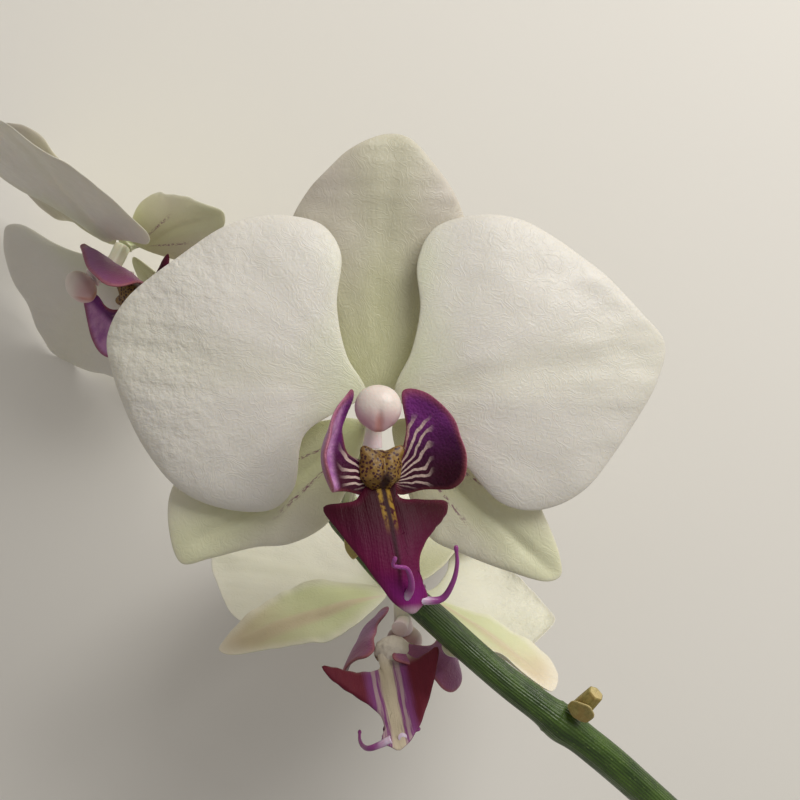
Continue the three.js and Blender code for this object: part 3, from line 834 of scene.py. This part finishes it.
@dataclass(frozen=True)
class Tepal:
    """A petal or sepal. Over the flower's plane its height is lift + bulge x sin(pi x along) -
    drop x along^2 - curl x across^2, plus a crease along the middle, waves that grow towards the
    rim, and a rim that rolls back. Along is the share of the way from root to tip, and across is
    the share of the half width.

    Attributes:
        outline: Points round the blade, from the claw, mm.
        hub: The point inside it that its rings shrink to.
        root: Where it leaves the flower's middle.
        tip: Its far end.
        half: Its half width.
        crease: The depth of the crease along its middle.
        wave: The height of the waves at its rim.
        roll: How far the rim rolls back.
        finish: Its finish.
        slot: The record's material slot.
        thickness: Its thickness.
    """

    outline: Points
    hub: tuple[float, float]
    root: tuple[float, float]
    tip: tuple[float, float]
    half: float
    lift: float
    bulge: float
    drop: float
    curl: float
    crease: float
    wave: float
    roll: float
    finish: Finish
    slot: str
    thickness: float = 0.8

    def skin(self, spread: float, cup: float, seed: int) -> Skin:
        """Makes the blade.

        Args:
            spread: The share of its full size that it has opened to.
            cup: How far it leans forwards at the flower's reach, mm.
            seed: Picks its own unevenness.

        Returns:
            The surface in the flower's frame. Its pattern is the angle and the share of the
            length from the root, and the share of the way to the rim.
        """
        flat, share = disc_grid(self.outline, self.hub, BLADE_SPOKES, BLADE_RINGS)
        root, tip = np.array(self.root), np.array(self.tip)
        length = np.linalg.norm(tip - root)
        axis = (tip - root) / length
        from_root = flat - root
        along = np.clip(from_root @ axis / length, 0, 1.1)
        across = (from_root[..., 1] * axis[0] - from_root[..., 0] * axis[1]) / self.half
        turn = np.arctan2(from_root[..., 1], from_root[..., 0]) - math.atan2(axis[1], axis[0])
        turn = (turn + math.pi) % (2 * math.pi) - math.pi
        around = np.arctan2(flat[..., 1] - self.hub[1], flat[..., 0] - self.hub[0])
        rng = np.random.default_rng(seed)
        phase = rng.uniform(0, 2 * math.pi, 3)
        waves = np.sin(4 * around + phase[0]) + 0.6 * np.sin(7 * around + phase[1])
        waves += 0.35 * np.sin(13 * around + phase[2])
        open_blade = ramp(along, 0.12, 0.4)
        height = self.lift + self.bulge * np.sin(math.pi * along) - self.drop * along**2
        height -= self.curl * across**2
        height += cup * (flat**2).sum(axis=-1) / Flower.cup_reach**2
        creased = ramp(along, 0.03, 0.3) * ramp(along, 1.15, 0.7)
        height -= self.crease * bell(across + 0.03 * np.sin(9 * along), 0.1) * creased
        height += self.wave * waves * share**5 * open_blade
        height -= self.roll * share**18 * open_blade
        height += 0.26 * ripples(flat[..., 0], flat[..., 1], 19.0, seed) * open_blade
        height += 0.035 * ripples(flat[..., 0], flat[..., 1], 6.0, seed + 1) * open_blade
        height += 0.03 * np.sin(26 * turn + 2 * np.sin(5 * along)) * open_blade
        height += 0.11 * ripples(flat[..., 0] * 0.5, flat[..., 1], 4.5, seed + 2) * ramp(along, 0.5, 0.95)
        widen = spread + (1 - spread) * (1 - np.clip(along, 0, 1)) ** 4
        mid = np.stack([flat[..., 0] * widen, flat[..., 1] * widen, height], -1)
        thickness = self.thickness * (0.75 + 0.35 * (1 - along)) * rim_taper(share)
        pattern = np.stack([turn, along, share], -1)
        return blade(mid, thickness, pattern)


TEPALS = {
    "right_petal": Tepal(
        outline=(
            (2.6, 2.9), (5.5, 10.5), (7.1, 18), (6.8, 26.5), (10, 32.8), (17, 35.2), (25, 34.8),
            (33, 30.8), (41, 24.9), (48, 17.8), (52.7, 12.3), (51.2, 5.5), (42.7, -8), (37.4, -14.2),
            (32, -17.3), (26.7, -18.1), (21.5, -16.5), (15.1, -9.8), (8.5, -2.5),
        ),
        hub=(25, 9), root=(1.5, 3), tip=(51, 10), half=25, lift=0.8, bulge=2.5, drop=2, curl=3,
        crease=0.38, wave=0.35, roll=0.5, finish=Finish.PETAL, slot="petal",
    ),
    "left_petal": Tepal(
        outline=(
            (-2.6, 2.9), (-6, 9.6), (-7.7, 18.5), (-6.9, 28), (-10, 33.1), (-15.5, 34.8),
            (-22.6, 34.5), (-28.5, 32.3), (-36.1, 26.9), (-45, 19.6), (-48.3, 13), (-47.2, 6.5),
            (-44.7, -0.5), (-41, -7.5), (-35.1, -14.2), (-27.8, -17.4), (-19.2, -17.6),
            (-15.4, -14), (-13.5, -4.5), (-8, -0.4),
        ),
        hub=(-25, 9), root=(-1.5, 3), tip=(-48, 12), half=25, lift=0.8, bulge=2.5, drop=3.5, curl=3,
        crease=0.12, wave=0.4, roll=0.9, finish=Finish.PEBBLED_PETAL, slot="petal",
    ),
    "dorsal_sepal": Tepal(
        outline=(
            (-2.6, 3.4), (-6.4, 10), (-9, 19), (-14.5, 27.5), (-15.8, 33.5), (-12.7, 39.9),
            (-9.1, 43.8), (-5.2, 47.4), (1.8, 50.6), (5.7, 50), (10.6, 45), (14.6, 39.2),
            (16.8, 32), (15.5, 26), (11, 18), (7, 10), (2.6, 3.4),
        ),
        hub=(1, 28), root=(0, 3), tip=(2.5, 50), half=17, lift=-2.8, bulge=-1, drop=1.5, curl=1.5,
        crease=0.15, wave=0.3, roll=0.5, finish=Finish.DORSAL, slot="sepal",
    ),
    "left_sepal": Tepal(
        outline=(
            (-2.6, -2.4), (-4.5, -11), (-7, -17), (-9.8, -21), (-15.9, -24), (-22.1, -24.6),
            (-30.3, -26.5), (-35.2, -27.3), (-37.5, -20.9), (-37, -14), (-32, -8), (-22, -3.5),
            (-11, -2), (-5, -1.4),
        ),
        hub=(-20, -14), root=(-1.5, -3), tip=(-36, -26), half=12, lift=-2.8, bulge=-0.5, drop=2,
        curl=1.2, crease=0.55, wave=0.3, roll=0.4, finish=Finish.SEPAL, slot="sepal",
    ),
    "right_sepal": Tepal(
        outline=(
            (2.6, -2.4), (4.5, -12), (7, -19), (9.8, -23.4), (15.5, -26.2), (23.5, -29.3),
            (31.4, -31.4), (33.8, -30.4), (33.6, -26.8), (30.1, -18), (26, -11), (19, -5.5),
            (11, -2.6), (5, -1.4),
        ),
        hub=(19, -17), root=(1.5, -3), tip=(34, -30.8), half=12, lift=-2.8, bulge=-0.5, drop=2,
        curl=1.2, crease=0.55, wave=0.3, roll=0.4, finish=Finish.SEPAL, slot="sepal",
    ),
}


def turned(points: Array, centre: Array, axis: int, angle: float) -> Array:
    """Points turned about an axis (0, 1 or 2) through a centre."""
    first, second = ((1, 2), (2, 0), (0, 1))[axis]
    moved = points - centre
    out = moved.copy()
    out[..., first] = moved[..., first] * math.cos(angle) - moved[..., second] * math.sin(angle)
    out[..., second] = moved[..., first] * math.sin(angle) + moved[..., second] * math.cos(angle)
    return out + centre


def spun(points: Array, axis: Array, angle: float) -> Array:
    """Points turned about a direction through the origin, by Rodrigues' formula."""
    along = (points @ axis)[..., None] * axis
    return points * math.cos(angle) + np.cross(axis, points) * math.sin(angle) + along * (1 - math.cos(angle))


@dataclass(frozen=True)
class Lip:
    """The lip, one organ: two hollow side lobes, a warty callus, an arched mid-lobe, two tendrils.

    Attributes:
        claw: Where it hinges, mm in the flower's frame.
        turn: How far it looks to the right.
        slant: How far its mid-lobe swings sideways.
    """

    turn: float
    slant: float
    claw: tuple[float, float, float] = (0, -11, 5)
    midlobe_outline: Points = (
        (-10.4, -16.8), (-5.5, -15.5), (-3, -12.4), (2, -12.4), (2.2, -15.1), (6.6, -15.7),
        (14.2, -16.7), (13, -18.4), (7.2, -21.8), (4.4, -25), (4.2, -29.4), (5.3, -32.3),
        (2.2, -34.7), (-0.5, -33.3), (-3.1, -30.1), (-5.5, -26.3), (-9, -20.5),
    )
    midlobe_hub: tuple[float, float] = (0, -22)
    midlobe_thickness: float = 1.4
    lobe_outline: Points = (
        (0.9, 3.4), (5.1, 3), (10.4, -1.6), (13.3, -7), (13.4, -11.4), (10.6, -13.6), (4.5, -14),
        (0, -14.8), (-0.9, -12.5), (0.1, -9), (1.4, -3.6),
    )
    left_lobe_outline: Points = (
        (4.2, 3.4), (6, 2.8), (10.4, -1.6), (13.3, -7), (13.4, -11.4), (10.6, -13.6), (4.5, -14),
        (0, -14.8), (-0.9, -12.5), (0.1, -9.6), (3.4, -7.6), (5, -4), (4.8, 0),
    )
    lobe_hub: tuple[float, float] = (7, -9)
    lobe_base: float = 3
    lobe_start: float = math.radians(22)
    lobe_bend: float = math.radians(4.4)
    lobe_thickness: float = 0.95
    left_lobe_bow: float = 3.8
    tendrils: tuple[Points, ...] = (
        ((1, -32.6, 11.3), (1.2, -30, 13.8), (-0.4, -26.7, 15.4), (-3.2, -25.9, 16), (-3, -24.6, 16.4)),
        ((3.4, -32.6, 11.3), (7.6, -32.5, 12.4), (8.9, -29.8, 14), (9.3, -26.5, 15), (8.9, -23.3, 15.4)),
    )

    def midlobe(self) -> Skin:
        """The mid-lobe. Its height is 5.5 + 6.5 x sin(0.62 pi x down) less 0.035 of the squared
        distance from the keel, with a furrow down its upper half and a swollen end."""
        flat, share = disc_grid(self.midlobe_outline, self.midlobe_hub, 120, 30)
        x, y = flat[..., 0], flat[..., 1]
        down = (-12 - y) / 24
        off = x - (1 + down)
        height = 5.5 + 6.5 * np.sin(math.pi * 0.62 * down) - 0.035 * off**2
        height -= 0.55 * bell(off, 0.9) * ramp(down, 0.75, 0.3)
        height += 0.8 * bell(off, 1.3) * ramp(down, 0.82, 1.0)
        height += 0.12 * np.sin(off * 2.4) * share**2 + 0.15 * ripples(x, y, 7.0, 5)
        thickness = self.midlobe_thickness * rim_taper(share, 9)
        return blade(np.stack([x, y, height], -1), thickness, np.stack([down, off / 10, share], -1))

    def side_lobe(self, hand: int) -> Skin:
        """A side lobe, on the right (+1) or left (-1). Its slope grows evenly from base to rim,
        so its section is an arc, its rim waves a little, and the left one bows outwards."""
        outline = self.lobe_outline if hand > 0 else self.left_lobe_outline
        flat, share = disc_grid(outline, self.lobe_hub, 120, 26)
        out, y = flat[..., 0], flat[..., 1]
        slope = self.lobe_start + self.lobe_bend * out
        x = (np.sin(slope) - math.sin(self.lobe_start)) / self.lobe_bend
        z = (math.cos(self.lobe_start) - np.cos(slope)) / self.lobe_bend
        wavy = 0.25 * np.sin(y * 0.9) * share**4 + 0.12 * ripples(out, y, 5.0, 9)
        bow = self.left_lobe_bow if hand < 0 else 0.0
        x = x + bow * bell(y + 8, 8.0) * ramp(out, 1, 8)
        x, z = x - np.sin(slope) * wavy, z + np.cos(slope) * wavy
        mid = np.stack([hand * (self.lobe_base + x), y, 5 + z], -1)
        pattern = np.stack([out / 13.4, (y + 15) / 18.4, share], -1)
        skin = blade(mid, self.lobe_thickness * rim_taper(share, 9), pattern)
        return skin

    def callus(self) -> Skin:
        """The callus: a pebble with two horns, a channel down its middle and small warts."""
        way, counts = ball_grid(72, 48)
        swell = 1 - 0.22 * bell(way[:, 0], 0.2) * ramp(way[:, 2], 0.0, 0.6)
        for hand in (1, -1):
            horn = unit(np.array([0.7 * hand, 0.72, 0.3]))
            swell += 0.5 * bell(np.linalg.norm(way - horn, axis=1), 0.26)
        swell -= 0.2 * bell(np.linalg.norm(way - np.array([0, 1.0, 0.2]), axis=1), 0.5)
        swell -= 0.16 * ramp(way[:, 1], -0.2, -0.8)
        swell += 0.03 * ripples(way[:, 0], way[:, 1], 0.35, 3)
        points = way * np.array([4.0, 4.2, 3.0]) * swell[:, None] + np.array([-1.2, -10.6, 6.4])
        return ball(way, counts, points)

    def tendril(self, route: Points) -> Skin:
        """A tendril that thins from 0.95 to 0.27 mm in radius and ends in a small knob."""
        share = np.linspace(0, 1, 60)
        path = evenly(smooth_curve(np.array(route, float), closed=False), share)
        radius = 0.95 - 0.68 * share**0.6 + 0.14 * bell(share - 0.97, 0.03)
        return tube(path, radius[:, None] + np.zeros((1, 12)), (0.2, 0.1, -1.0))

    def parts(self) -> list[tuple[Skin, Finish]]:
        """Its surfaces in the flower's frame, each with its finish."""
        claw = np.array(self.claw, float)
        swinging = [(self.midlobe(), Finish.MIDLOBE)]
        swinging += [(self.tendril(route), Finish.TENDRIL) for route in self.tendrils]
        for skin, _ in swinging:
            skin.points = turned(skin.points, claw, 2, self.slant)
        whole = [(self.side_lobe(1), Finish.SIDE_LOBE), (self.side_lobe(-1), Finish.LEFT_LOBE)]
        whole += [(self.callus(), Finish.CALLUS), *swinging]
        for skin, _ in whole:
            skin.points = turned(skin.points, claw, 1, self.turn)
        return whole


@dataclass(frozen=True)
class AntherCap:
    """The anther cap: a smooth helmet with a shallow cleft and a small beak at its lower edge."""

    centre: tuple[float, float, float] = (-1.3, 0.3, 11.6)
    radii: tuple[float, float, float] = (4.0, 3.9, 2.9)

    def skin(self) -> Skin:
        """The cap. A pebble whose radius drops along the cleft and grows at the beak."""
        way, counts = ball_grid(64, 44)
        swell = 1 - 0.10 * bell(way[:, 0], 0.16) * ramp(way[:, 1], 0.35, -0.5) * ramp(way[:, 2], -0.1, 0.5)
        swell += 0.16 * bell(np.linalg.norm(way - unit(np.array([0, -0.88, 0.3])), axis=1), 0.32)
        swell -= 0.07 * bell(np.linalg.norm(way - unit(np.array([0, 0.9, 0.4])), axis=1), 0.4)
        points = way * np.array(self.radii) * swell[:, None] + np.array(self.centre)
        return ball(way, counts, points)


@dataclass(frozen=True)
class Column:
    """The column: a short fleshy post that widens to a hood, with a foot down to the lip."""

    radius: float = 2.1
    foot_radius: float = 1.4

    def parts(self) -> list[tuple[Skin, Finish]]:
        """The post and its foot."""
        share = np.linspace(0, 1, 40)
        turn = np.arange(36) * 2 * math.pi / 36
        post = smooth_curve(np.array([[0, 0, -1.8], [-0.7, -1.2, 3], [-1.2, 0, 8.2]], float), closed=False)
        widen = 0.88 + 0.2 * ramp(share, 0.4, 1.0)
        hollow = 1 - 0.16 * bell(np.sin(turn) + 1, 0.5)[None] * ramp(share, 0.5, 0.85)[:, None]
        body = tube(evenly(post, share), self.radius * widen[:, None] * hollow, (1.0, 0, 0.001))
        foot = np.array([[-0.7, -0.6, 3.6], [-1.4, -3.4, 3.6], [-1.6, -6.4, 3]], float)
        foot = smooth_curve(foot, closed=False)
        width = self.foot_radius * (0.95 + 0.3 * share**2)[:, None] + np.zeros((1, 28))
        return [(body, Finish.COLUMN), (tube(evenly(foot, share), width, (1.0, 0.02, 0)), Finish.COLUMN)]


@dataclass(frozen=True)
class Stem:
    """The rachis: a stem that tapers from the cut to the tip and swells at each node.

    Attributes:
        route: Points along its middle, from the cut end, mm.
        nodes: Where each node is, as a share of its length.
        cut_radius: Its radius at the cut.
        tip_radius: Its radius at the tip.
    """

    route: Points = (
        (132, -165, 3.1), (113, -145, 9), (90, -120, 29), (68, -93.5, 51), (47, -71.8, 65.5),
        (32.6, -59.9, 69), (23.5, -52.9, 69.5), (12.1, -42.9, 69.5), (-1, -30.8, 68),
        (-7.8, -21.8, 67), (-18, -8, 64), (-26, 3, 60), (-33, 14, 54),
    )
    nodes: tuple[float, ...] = (0.25, 0.598, 0.825, 0.891, 0.945)
    cut_radius: float = 3.6
    tip_radius: float = 1.4
    swell: float = 0.75
    swell_length: float = 3.2
    slant: float = 2.0

    def line(self) -> Array:
        """Its middle, closely stepped."""
        return smooth_curve(np.array(self.route, float), closed=False)

    def length(self) -> float:
        """Its length along the middle."""
        return float(np.linalg.norm(np.diff(self.line(), axis=0), axis=1).sum())

    def at(self, share: float) -> tuple[Array, Array]:
        """The place and the direction at a share of its length."""
        pair = evenly(self.line(), np.array([share - 0.002, share, share + 0.002]))
        return pair[1], unit(pair[2] - pair[0])

    def radius(self, share: Array) -> Array:
        """Its radius: an even taper with a bell-shaped swelling at each node."""
        plain = self.cut_radius + (self.tip_radius - self.cut_radius) * share**3
        swell = sum(bell((share - node) * self.length(), self.swell_length) for node in self.nodes)
        return plain + self.swell * swell * plain / self.cut_radius

    def on_skin(self, share: float, towards: Array, clear: float) -> Array:
        """A place that stands clear of the skin at a share of the length, on one side."""
        centre, along = self.at(share)
        out = unit(towards - along * (towards @ along))
        return centre + out * (float(self.radius(np.array(share))) + clear)

    def skin(self) -> Skin:
        """The stem, with faint ribs and a raised line round it above each node."""
        share = np.linspace(0, 1, 620)
        turn = np.arange(48) * 2 * math.pi / 48
        radius = self.radius(share)
        for node in self.nodes:
            radius = radius + 0.16 * bell((share - node) * self.length() - 2.4, 0.35)
        ribs = 0.05 * np.sin(6 * turn)[None] + 0.03 * np.sin(11 * turn + 1)[None]
        uneven = 0.07 * ripples(share * self.length(), share * 0, 21.0, 4)
        path = evenly(self.line(), share)
        return tube(path, radius[:, None] + ribs + uneven[:, None], (0.2, 0.1, 1.0), self.slant)


@dataclass(frozen=True)
class Bract:
    """A bract: a small scale leaf that hugs the stem and narrows to a point."""

    share: float
    towards: tuple[float, float, float]
    back: float = 5.0
    length: float = 6.0
    gap: float = 0.35
    thickness: float = 0.55
    outline: Points = (
        (-1.15, 0.02), (-1.12, 0.3), (-0.8, 0.58), (-0.35, 0.86), (0, 1.0), (0.35, 0.86),
        (0.8, 0.58), (1.12, 0.3), (1.15, 0.02), (0.5, -0.02), (-0.5, -0.02),
    )

    def on_stem(self, stem: Stem) -> Skin:
        """The scale below a node."""
        centre, up = stem.at(self.share - self.back / stem.length())
        return self.skin(centre, up, float(stem.radius(np.array(self.share))))

    def skin(self, centre: Array, up: Array, held: float) -> Skin:
        """The scale, wrapped round a stalk of a radius. Its outline is an angle round the stalk and
        a share of its own length, and it stands off more towards its tip."""
        flat, rim = disc_grid(self.outline, (0, 0.4), 72, 14)
        towards = np.array(self.towards, float)
        out = unit(towards - up * (towards @ up))
        beside = np.cross(up, out)
        turn, rise = flat[..., :1], flat[..., 1:]
        stand = np.maximum(rise, 0) ** 1.5
        radius = held + self.gap + 0.3 + 0.9 * stand
        mid = centre + up * self.length * (rise - 0.45)
        mid = mid + out * radius * np.cos(turn) + beside * radius * np.sin(turn)
        pattern = np.concatenate([rise, turn / 4, rim[..., None]], -1)
        return blade(mid, self.thickness * rim_taper(rim, 8), pattern)


@dataclass(frozen=True)
class Stub:
    """The dried stump of a lost flower's stalk, cut across, with a sunken end."""

    share: float = 0.598
    side: tuple[float, float, float] = (0.42, 0.62, 0.55)
    heading: tuple[float, float, float] = (0.52, 0.68, 0.45)
    length: float = 6.2
    gap: float = 0.95

    def skin(self, stem: Stem) -> Skin:
        """The stump: a shrivelled tube with six lengthwise folds."""
        start = stem.on_skin(self.share, np.array(self.side), self.gap)
        way = unit(np.array(self.heading))
        share = np.linspace(0, 1, 30)
        turn = np.arange(40) * 2 * math.pi / 40
        path = start + share[:, None] * way * self.length
        radius = (2.1 - 0.5 * share)[:, None] * (1 + 0.05 * np.sin(6 * turn + 2 * share[:, None]))
        return tube(path, radius, (1.0, -0.3, 0.2))


@dataclass(frozen=True)
class TipBud:
    """The last small closed bud at the stem's tip, with three seams between its sepals."""

    radii: tuple[float, float, float] = (2.6, 2.6, 3.2)
    ahead: float = 3.6

    def skin(self, stem: Stem) -> Skin:
        """The bud: a pebble grooved along three lines from pole to pole."""
        way, counts = ball_grid(48, 32)
        turn = np.arctan2(way[:, 1], way[:, 0])
        seams = bell(np.cos(1.5 * turn), 0.16) * np.sqrt(1 - np.abs(way[:, 2]))
        _, along = stem.at(0.997)
        middle = evenly(stem.line(), np.array([1.0]))[0] + along * self.ahead
        return ball(way, counts, way * np.array(self.radii) * (1 - 0.07 * seams)[:, None] + middle)


@dataclass(frozen=True)
class Flower:
    """An open flower, with its stalk and bract.

    Attributes:
        key: The letter that its nodes' names start with.
        position: Its middle in the layout, mm.
        facing: The way that it faces.
        roll: Its turn about that, in degrees.
        spread: The share of their full size that its petals have opened to.
        petal_cup: How far its petals lean forwards, mm.
        sepal_cup: How far its sepals do.
        left_petal_spread: The share of its full size that its left petal has opened to.
        left_sepal_swing: How far the left sepal swings in the flower's plane, in degrees.
        left_sepal_twist: How far it twists about its own length, in degrees.
        lip_turn: How far its lip looks to the right, in degrees.
        lip_slant: How far its mid-lobe swings, in degrees.
        node: Its node's share of the stem's length.
        side: The side of the stem that its stalk leaves from.
        heading: The way that the stalk sets out.
        lead: How long the stalk keeps that direction, mm.
        arrive: How long it runs straight into the flower's back, mm.
        seed: Picks its own unevenness.
    """

    key: str
    position: tuple[float, float, float]
    facing: tuple[float, float, float]
    roll: float
    spread: float
    petal_cup: float
    sepal_cup: float
    left_petal_spread: float
    left_sepal_swing: float
    left_sepal_twist: float
    lip_turn: float
    lip_slant: float
    node: float
    side: tuple[float, float, float]
    heading: tuple[float, float, float]
    lead: float
    arrive: float
    seed: int

    cup_reach = 45.0
    stalk_end = 2.6
    stalk_clear = 2.0

    def axes(self) -> Array:
        """Its three axes in the layout, as rows."""
        z = unit(np.array(self.facing, float))
        x = unit(np.cross([0.0, 1.0, 0.0], z))
        y = np.cross(z, x)
        roll = math.radians(self.roll)
        return np.stack([x * math.cos(roll) + y * math.sin(roll), y * math.cos(roll) - x * math.sin(roll), z])

    def placed(self, skin: Skin) -> Skin:
        """A surface of the flower's frame, in the layout."""
        return skin.placed(np.array(self.position, float), self.axes())

    def stalk(self, stem: Stem) -> Skin:
        """The pedicel with its ovary: a Bezier curve from the stem to the flower's back, with
        three grooves that twist half a turn along it."""
        facing = self.axes()[2]
        start = stem.on_skin(self.node, np.array(self.side, float), self.stalk_clear)
        end = np.array(self.position, float) - facing * self.stalk_end
        lead = start + unit(np.array(self.heading, float)) * self.lead
        share = np.linspace(0, 1, 110)
        path = bezier(np.stack([start, lead, end - facing * self.arrive, end]), share)
        turn = np.arange(36) * 2 * math.pi / 36
        radius = 1.75 - 0.35 * np.sin(math.pi * share) + 0.25 * share**3
        twisting = np.sin(6 * turn[None] + math.pi * share[:, None])
        grooves = 1 + 0.05 * twisting * ramp(share, 0.3, 0.9)[:, None]
        reference = unit(np.cross(lead - start, end - start)) + np.array([0.001, 0.002, 0])
        return tube(path, radius[:, None] * grooves, tuple(reference))

    def build(self, spot: Spot, stem: Stem) -> None:
        """Makes all of its pieces."""
        for number, (organ, tepal) in enumerate(TEPALS.items()):
            cup = self.petal_cup if tepal.slot == "petal" else self.sepal_cup
            spread = self.left_petal_spread if organ == "left_petal" else self.spread
            skin = tepal.skin(spread, cup, self.seed + 10 * number)
            if organ == "left_sepal":
                length = unit(np.array([*tepal.tip, 0.0]) - np.array([*tepal.root, 0.0]))
                skin.points = spun(skin.points, length, math.radians(self.left_sepal_twist))
                skin.points = turned(skin.points, np.zeros(3), 2, math.radians(self.left_sepal_swing))
            piece(f"{self.key}_{organ}", [(self.placed(skin), tepal.finish)], spot, tepal.slot)
        lip = Lip(math.radians(self.lip_turn), math.radians(self.lip_slant))
        piece(f"{self.key}_lip", [(self.placed(skin), finish) for skin, finish in lip.parts()], spot, "lip")
        column = [(self.placed(skin), finish) for skin, finish in Column().parts()]
        piece(f"{self.key}_column", column, spot, "column")
        piece(f"{self.key}_anther_cap", [(self.placed(AntherCap().skin()), Finish.CAP)], spot, "column")
        piece(f"{self.key}_pedicel", [(self.stalk(stem), Finish.STALK)], spot, "stalk")
        bract = Bract(self.node, self.side)
        piece(f"{self.key}_bract", [(bract.on_stem(stem), Finish.SCALE)], spot, "dry_scale")


FLOWERS = (
    Flower(
        key="a", position=(0, 0, 96), facing=(0.1, 0.02, 1), roll=0, spread=1, petal_cup=0,
        sepal_cup=0, left_petal_spread=1, left_sepal_swing=0, left_sepal_twist=0, lip_turn=20,
        lip_slant=0, node=0.825, side=(-0.2, 0.5, 0.85), heading=(0.1, 0.55, 0.83), lead=13,
        arrive=13, seed=11,
    ),
    Flower(
        key="b", position=(-60, 35, 33.1), facing=(-0.58, -0.66, 0.48), roll=45, spread=0.88,
        petal_cup=12, sepal_cup=0, left_petal_spread=0.88, left_sepal_swing=0, left_sepal_twist=0,
        lip_turn=5, lip_slant=0, node=0.945, side=(0.4, 0.9, 0.1), heading=(0.1, 0.95, -0.25),
        lead=24, arrive=9, seed=202,
    ),
    Flower(
        key="c", position=(3.9, -41.5, 41.5), facing=(-0.056, -0.861, -0.505), roll=22,
        spread=0.92, petal_cup=6, sepal_cup=6, left_petal_spread=0.68, left_sepal_swing=-11,
        left_sepal_twist=-30, lip_turn=-10, lip_slant=-27, node=0.891, side=(0.3, -0.3, -0.9),
        heading=(0.1, -0.25, -0.96), lead=14, arrive=14, seed=303,
    ),
)


@dataclass(frozen=True)
class Spike:
    """The stem with its flowers, its dried stub and its last bud."""

    stem: Stem = Stem()
    flowers: tuple[Flower, ...] = FLOWERS

    def build(self, spot: Spot) -> None:
        """Makes every piece of the spike."""
        piece("rachis", [(self.stem.skin(), Finish.STEM)], spot, "stem")
        for flower in self.flowers:
            flower.build(spot, self.stem)
        stub = Stub()
        piece("stub", [(stub.skin(self.stem), Finish.SCALE)], spot, "dry_scale")
        way = unit(np.array(stub.heading))
        bract = Bract(stub.share, (-0.45, -0.55, 0.7), length=4.6)
        base = self.stem.on_skin(stub.share, np.array(stub.side), stub.gap) + way * 0.6 * bract.length
        piece("stub_bract", [(bract.skin(base, way, 2.1), Finish.SCALE)], spot, "dry_scale")
        piece("tip_bud", [(TipBud().skin(self.stem), Finish.STALK)], spot, "stalk")


# ------------------------------------------------------------------------------------------------
# Studio


@dataclass(frozen=True)
class Studio:
    """The table, the soft light and the camera that looks straight down on the spike.

    Attributes:
        half_table: Half the table's width, m.
        camera_over: How far the camera is above the middle of flower A, mm.
        camera_side: Where it is beside that, mm.
        view_mm: The width that it sees in that flower's plane.
        sensor_mm: Its sensor's width.
    """

    half_table: float = 3.0
    camera_over: float = 240.0
    camera_side: tuple[float, float] = (3.56, 1.78)
    view_mm: float = 142.35
    sensor_mm: float = 36.0

    def table(self) -> None:
        """A wide flat table under the spike."""
        mesh = bpy.data.meshes.new("table")
        h = self.half_table
        mesh.from_pydata([(-h, -h, 0), (h, -h, 0), (h, h, 0), (-h, h, 0)], [], [(0, 1, 2, 3)])
        mesh.materials.append(Finish.TABLE.material())
        made = bpy.data.objects.new("table", mesh)
        bpy.context.collection.objects.link(made)

    def lamp(self, name: str, place: tuple[float, ...], size: float, power: float, tint: str) -> None:
        """A square soft lamp that shines at the spike's middle."""
        light = bpy.data.lights.new(name, "AREA")
        light.size, light.energy, light.color = size, power, linear(tint)[:3]
        made = bpy.data.objects.new(name, light)
        made.location = place
        x, y, z = place
        made.rotation_euler = (math.acos(z / math.dist(place, (0, 0, 0))), 0, math.atan2(x, -y))
        bpy.context.collection.objects.link(made)

    def sky(self) -> None:
        """An even pale surrounding light."""
        world = bpy.data.worlds.new("studio")
        world.use_nodes = True
        background = world.node_tree.nodes["Background"]
        background.inputs["Color"].default_value = linear("#f4f0ea")
        background.inputs["Strength"].default_value = 0.36
        bpy.context.scene.world = world

    def camera(self, spot: Spot) -> None:
        """The camera, with the picture's top towards +Y."""
        data = bpy.data.cameras.new("camera")
        data.sensor_width = self.sensor_mm
        data.lens = self.sensor_mm * self.camera_over / self.view_mm
        data.clip_start = 0.01
        made = bpy.data.objects.new("camera", data)
        height = FLOWERS[0].position[2] + self.camera_over
        made.location = spot.origin + np.array([*self.camera_side, height]) * MM
        bpy.context.collection.objects.link(made)
        bpy.context.scene.camera = made

    def build(self, spot: Spot) -> None:
        """Sets everything up."""
        self.table()
        self.lamp("window", (0.40, 0.54, 0.47), 0.55, 5.2, "#fffdf8")
        self.sky()
        self.camera(spot)
        bpy.context.scene.view_settings.view_transform = "Standard"


def main() -> None:
    """Builds the studio and the spike."""
    logging.basicConfig(level=logging.INFO, format="%(message)s")
    spot = Spot.from_cap(FLOWERS[0])
    Studio().build(spot)
    Spike().build(spot)


if __name__ == "__main__":
    main()
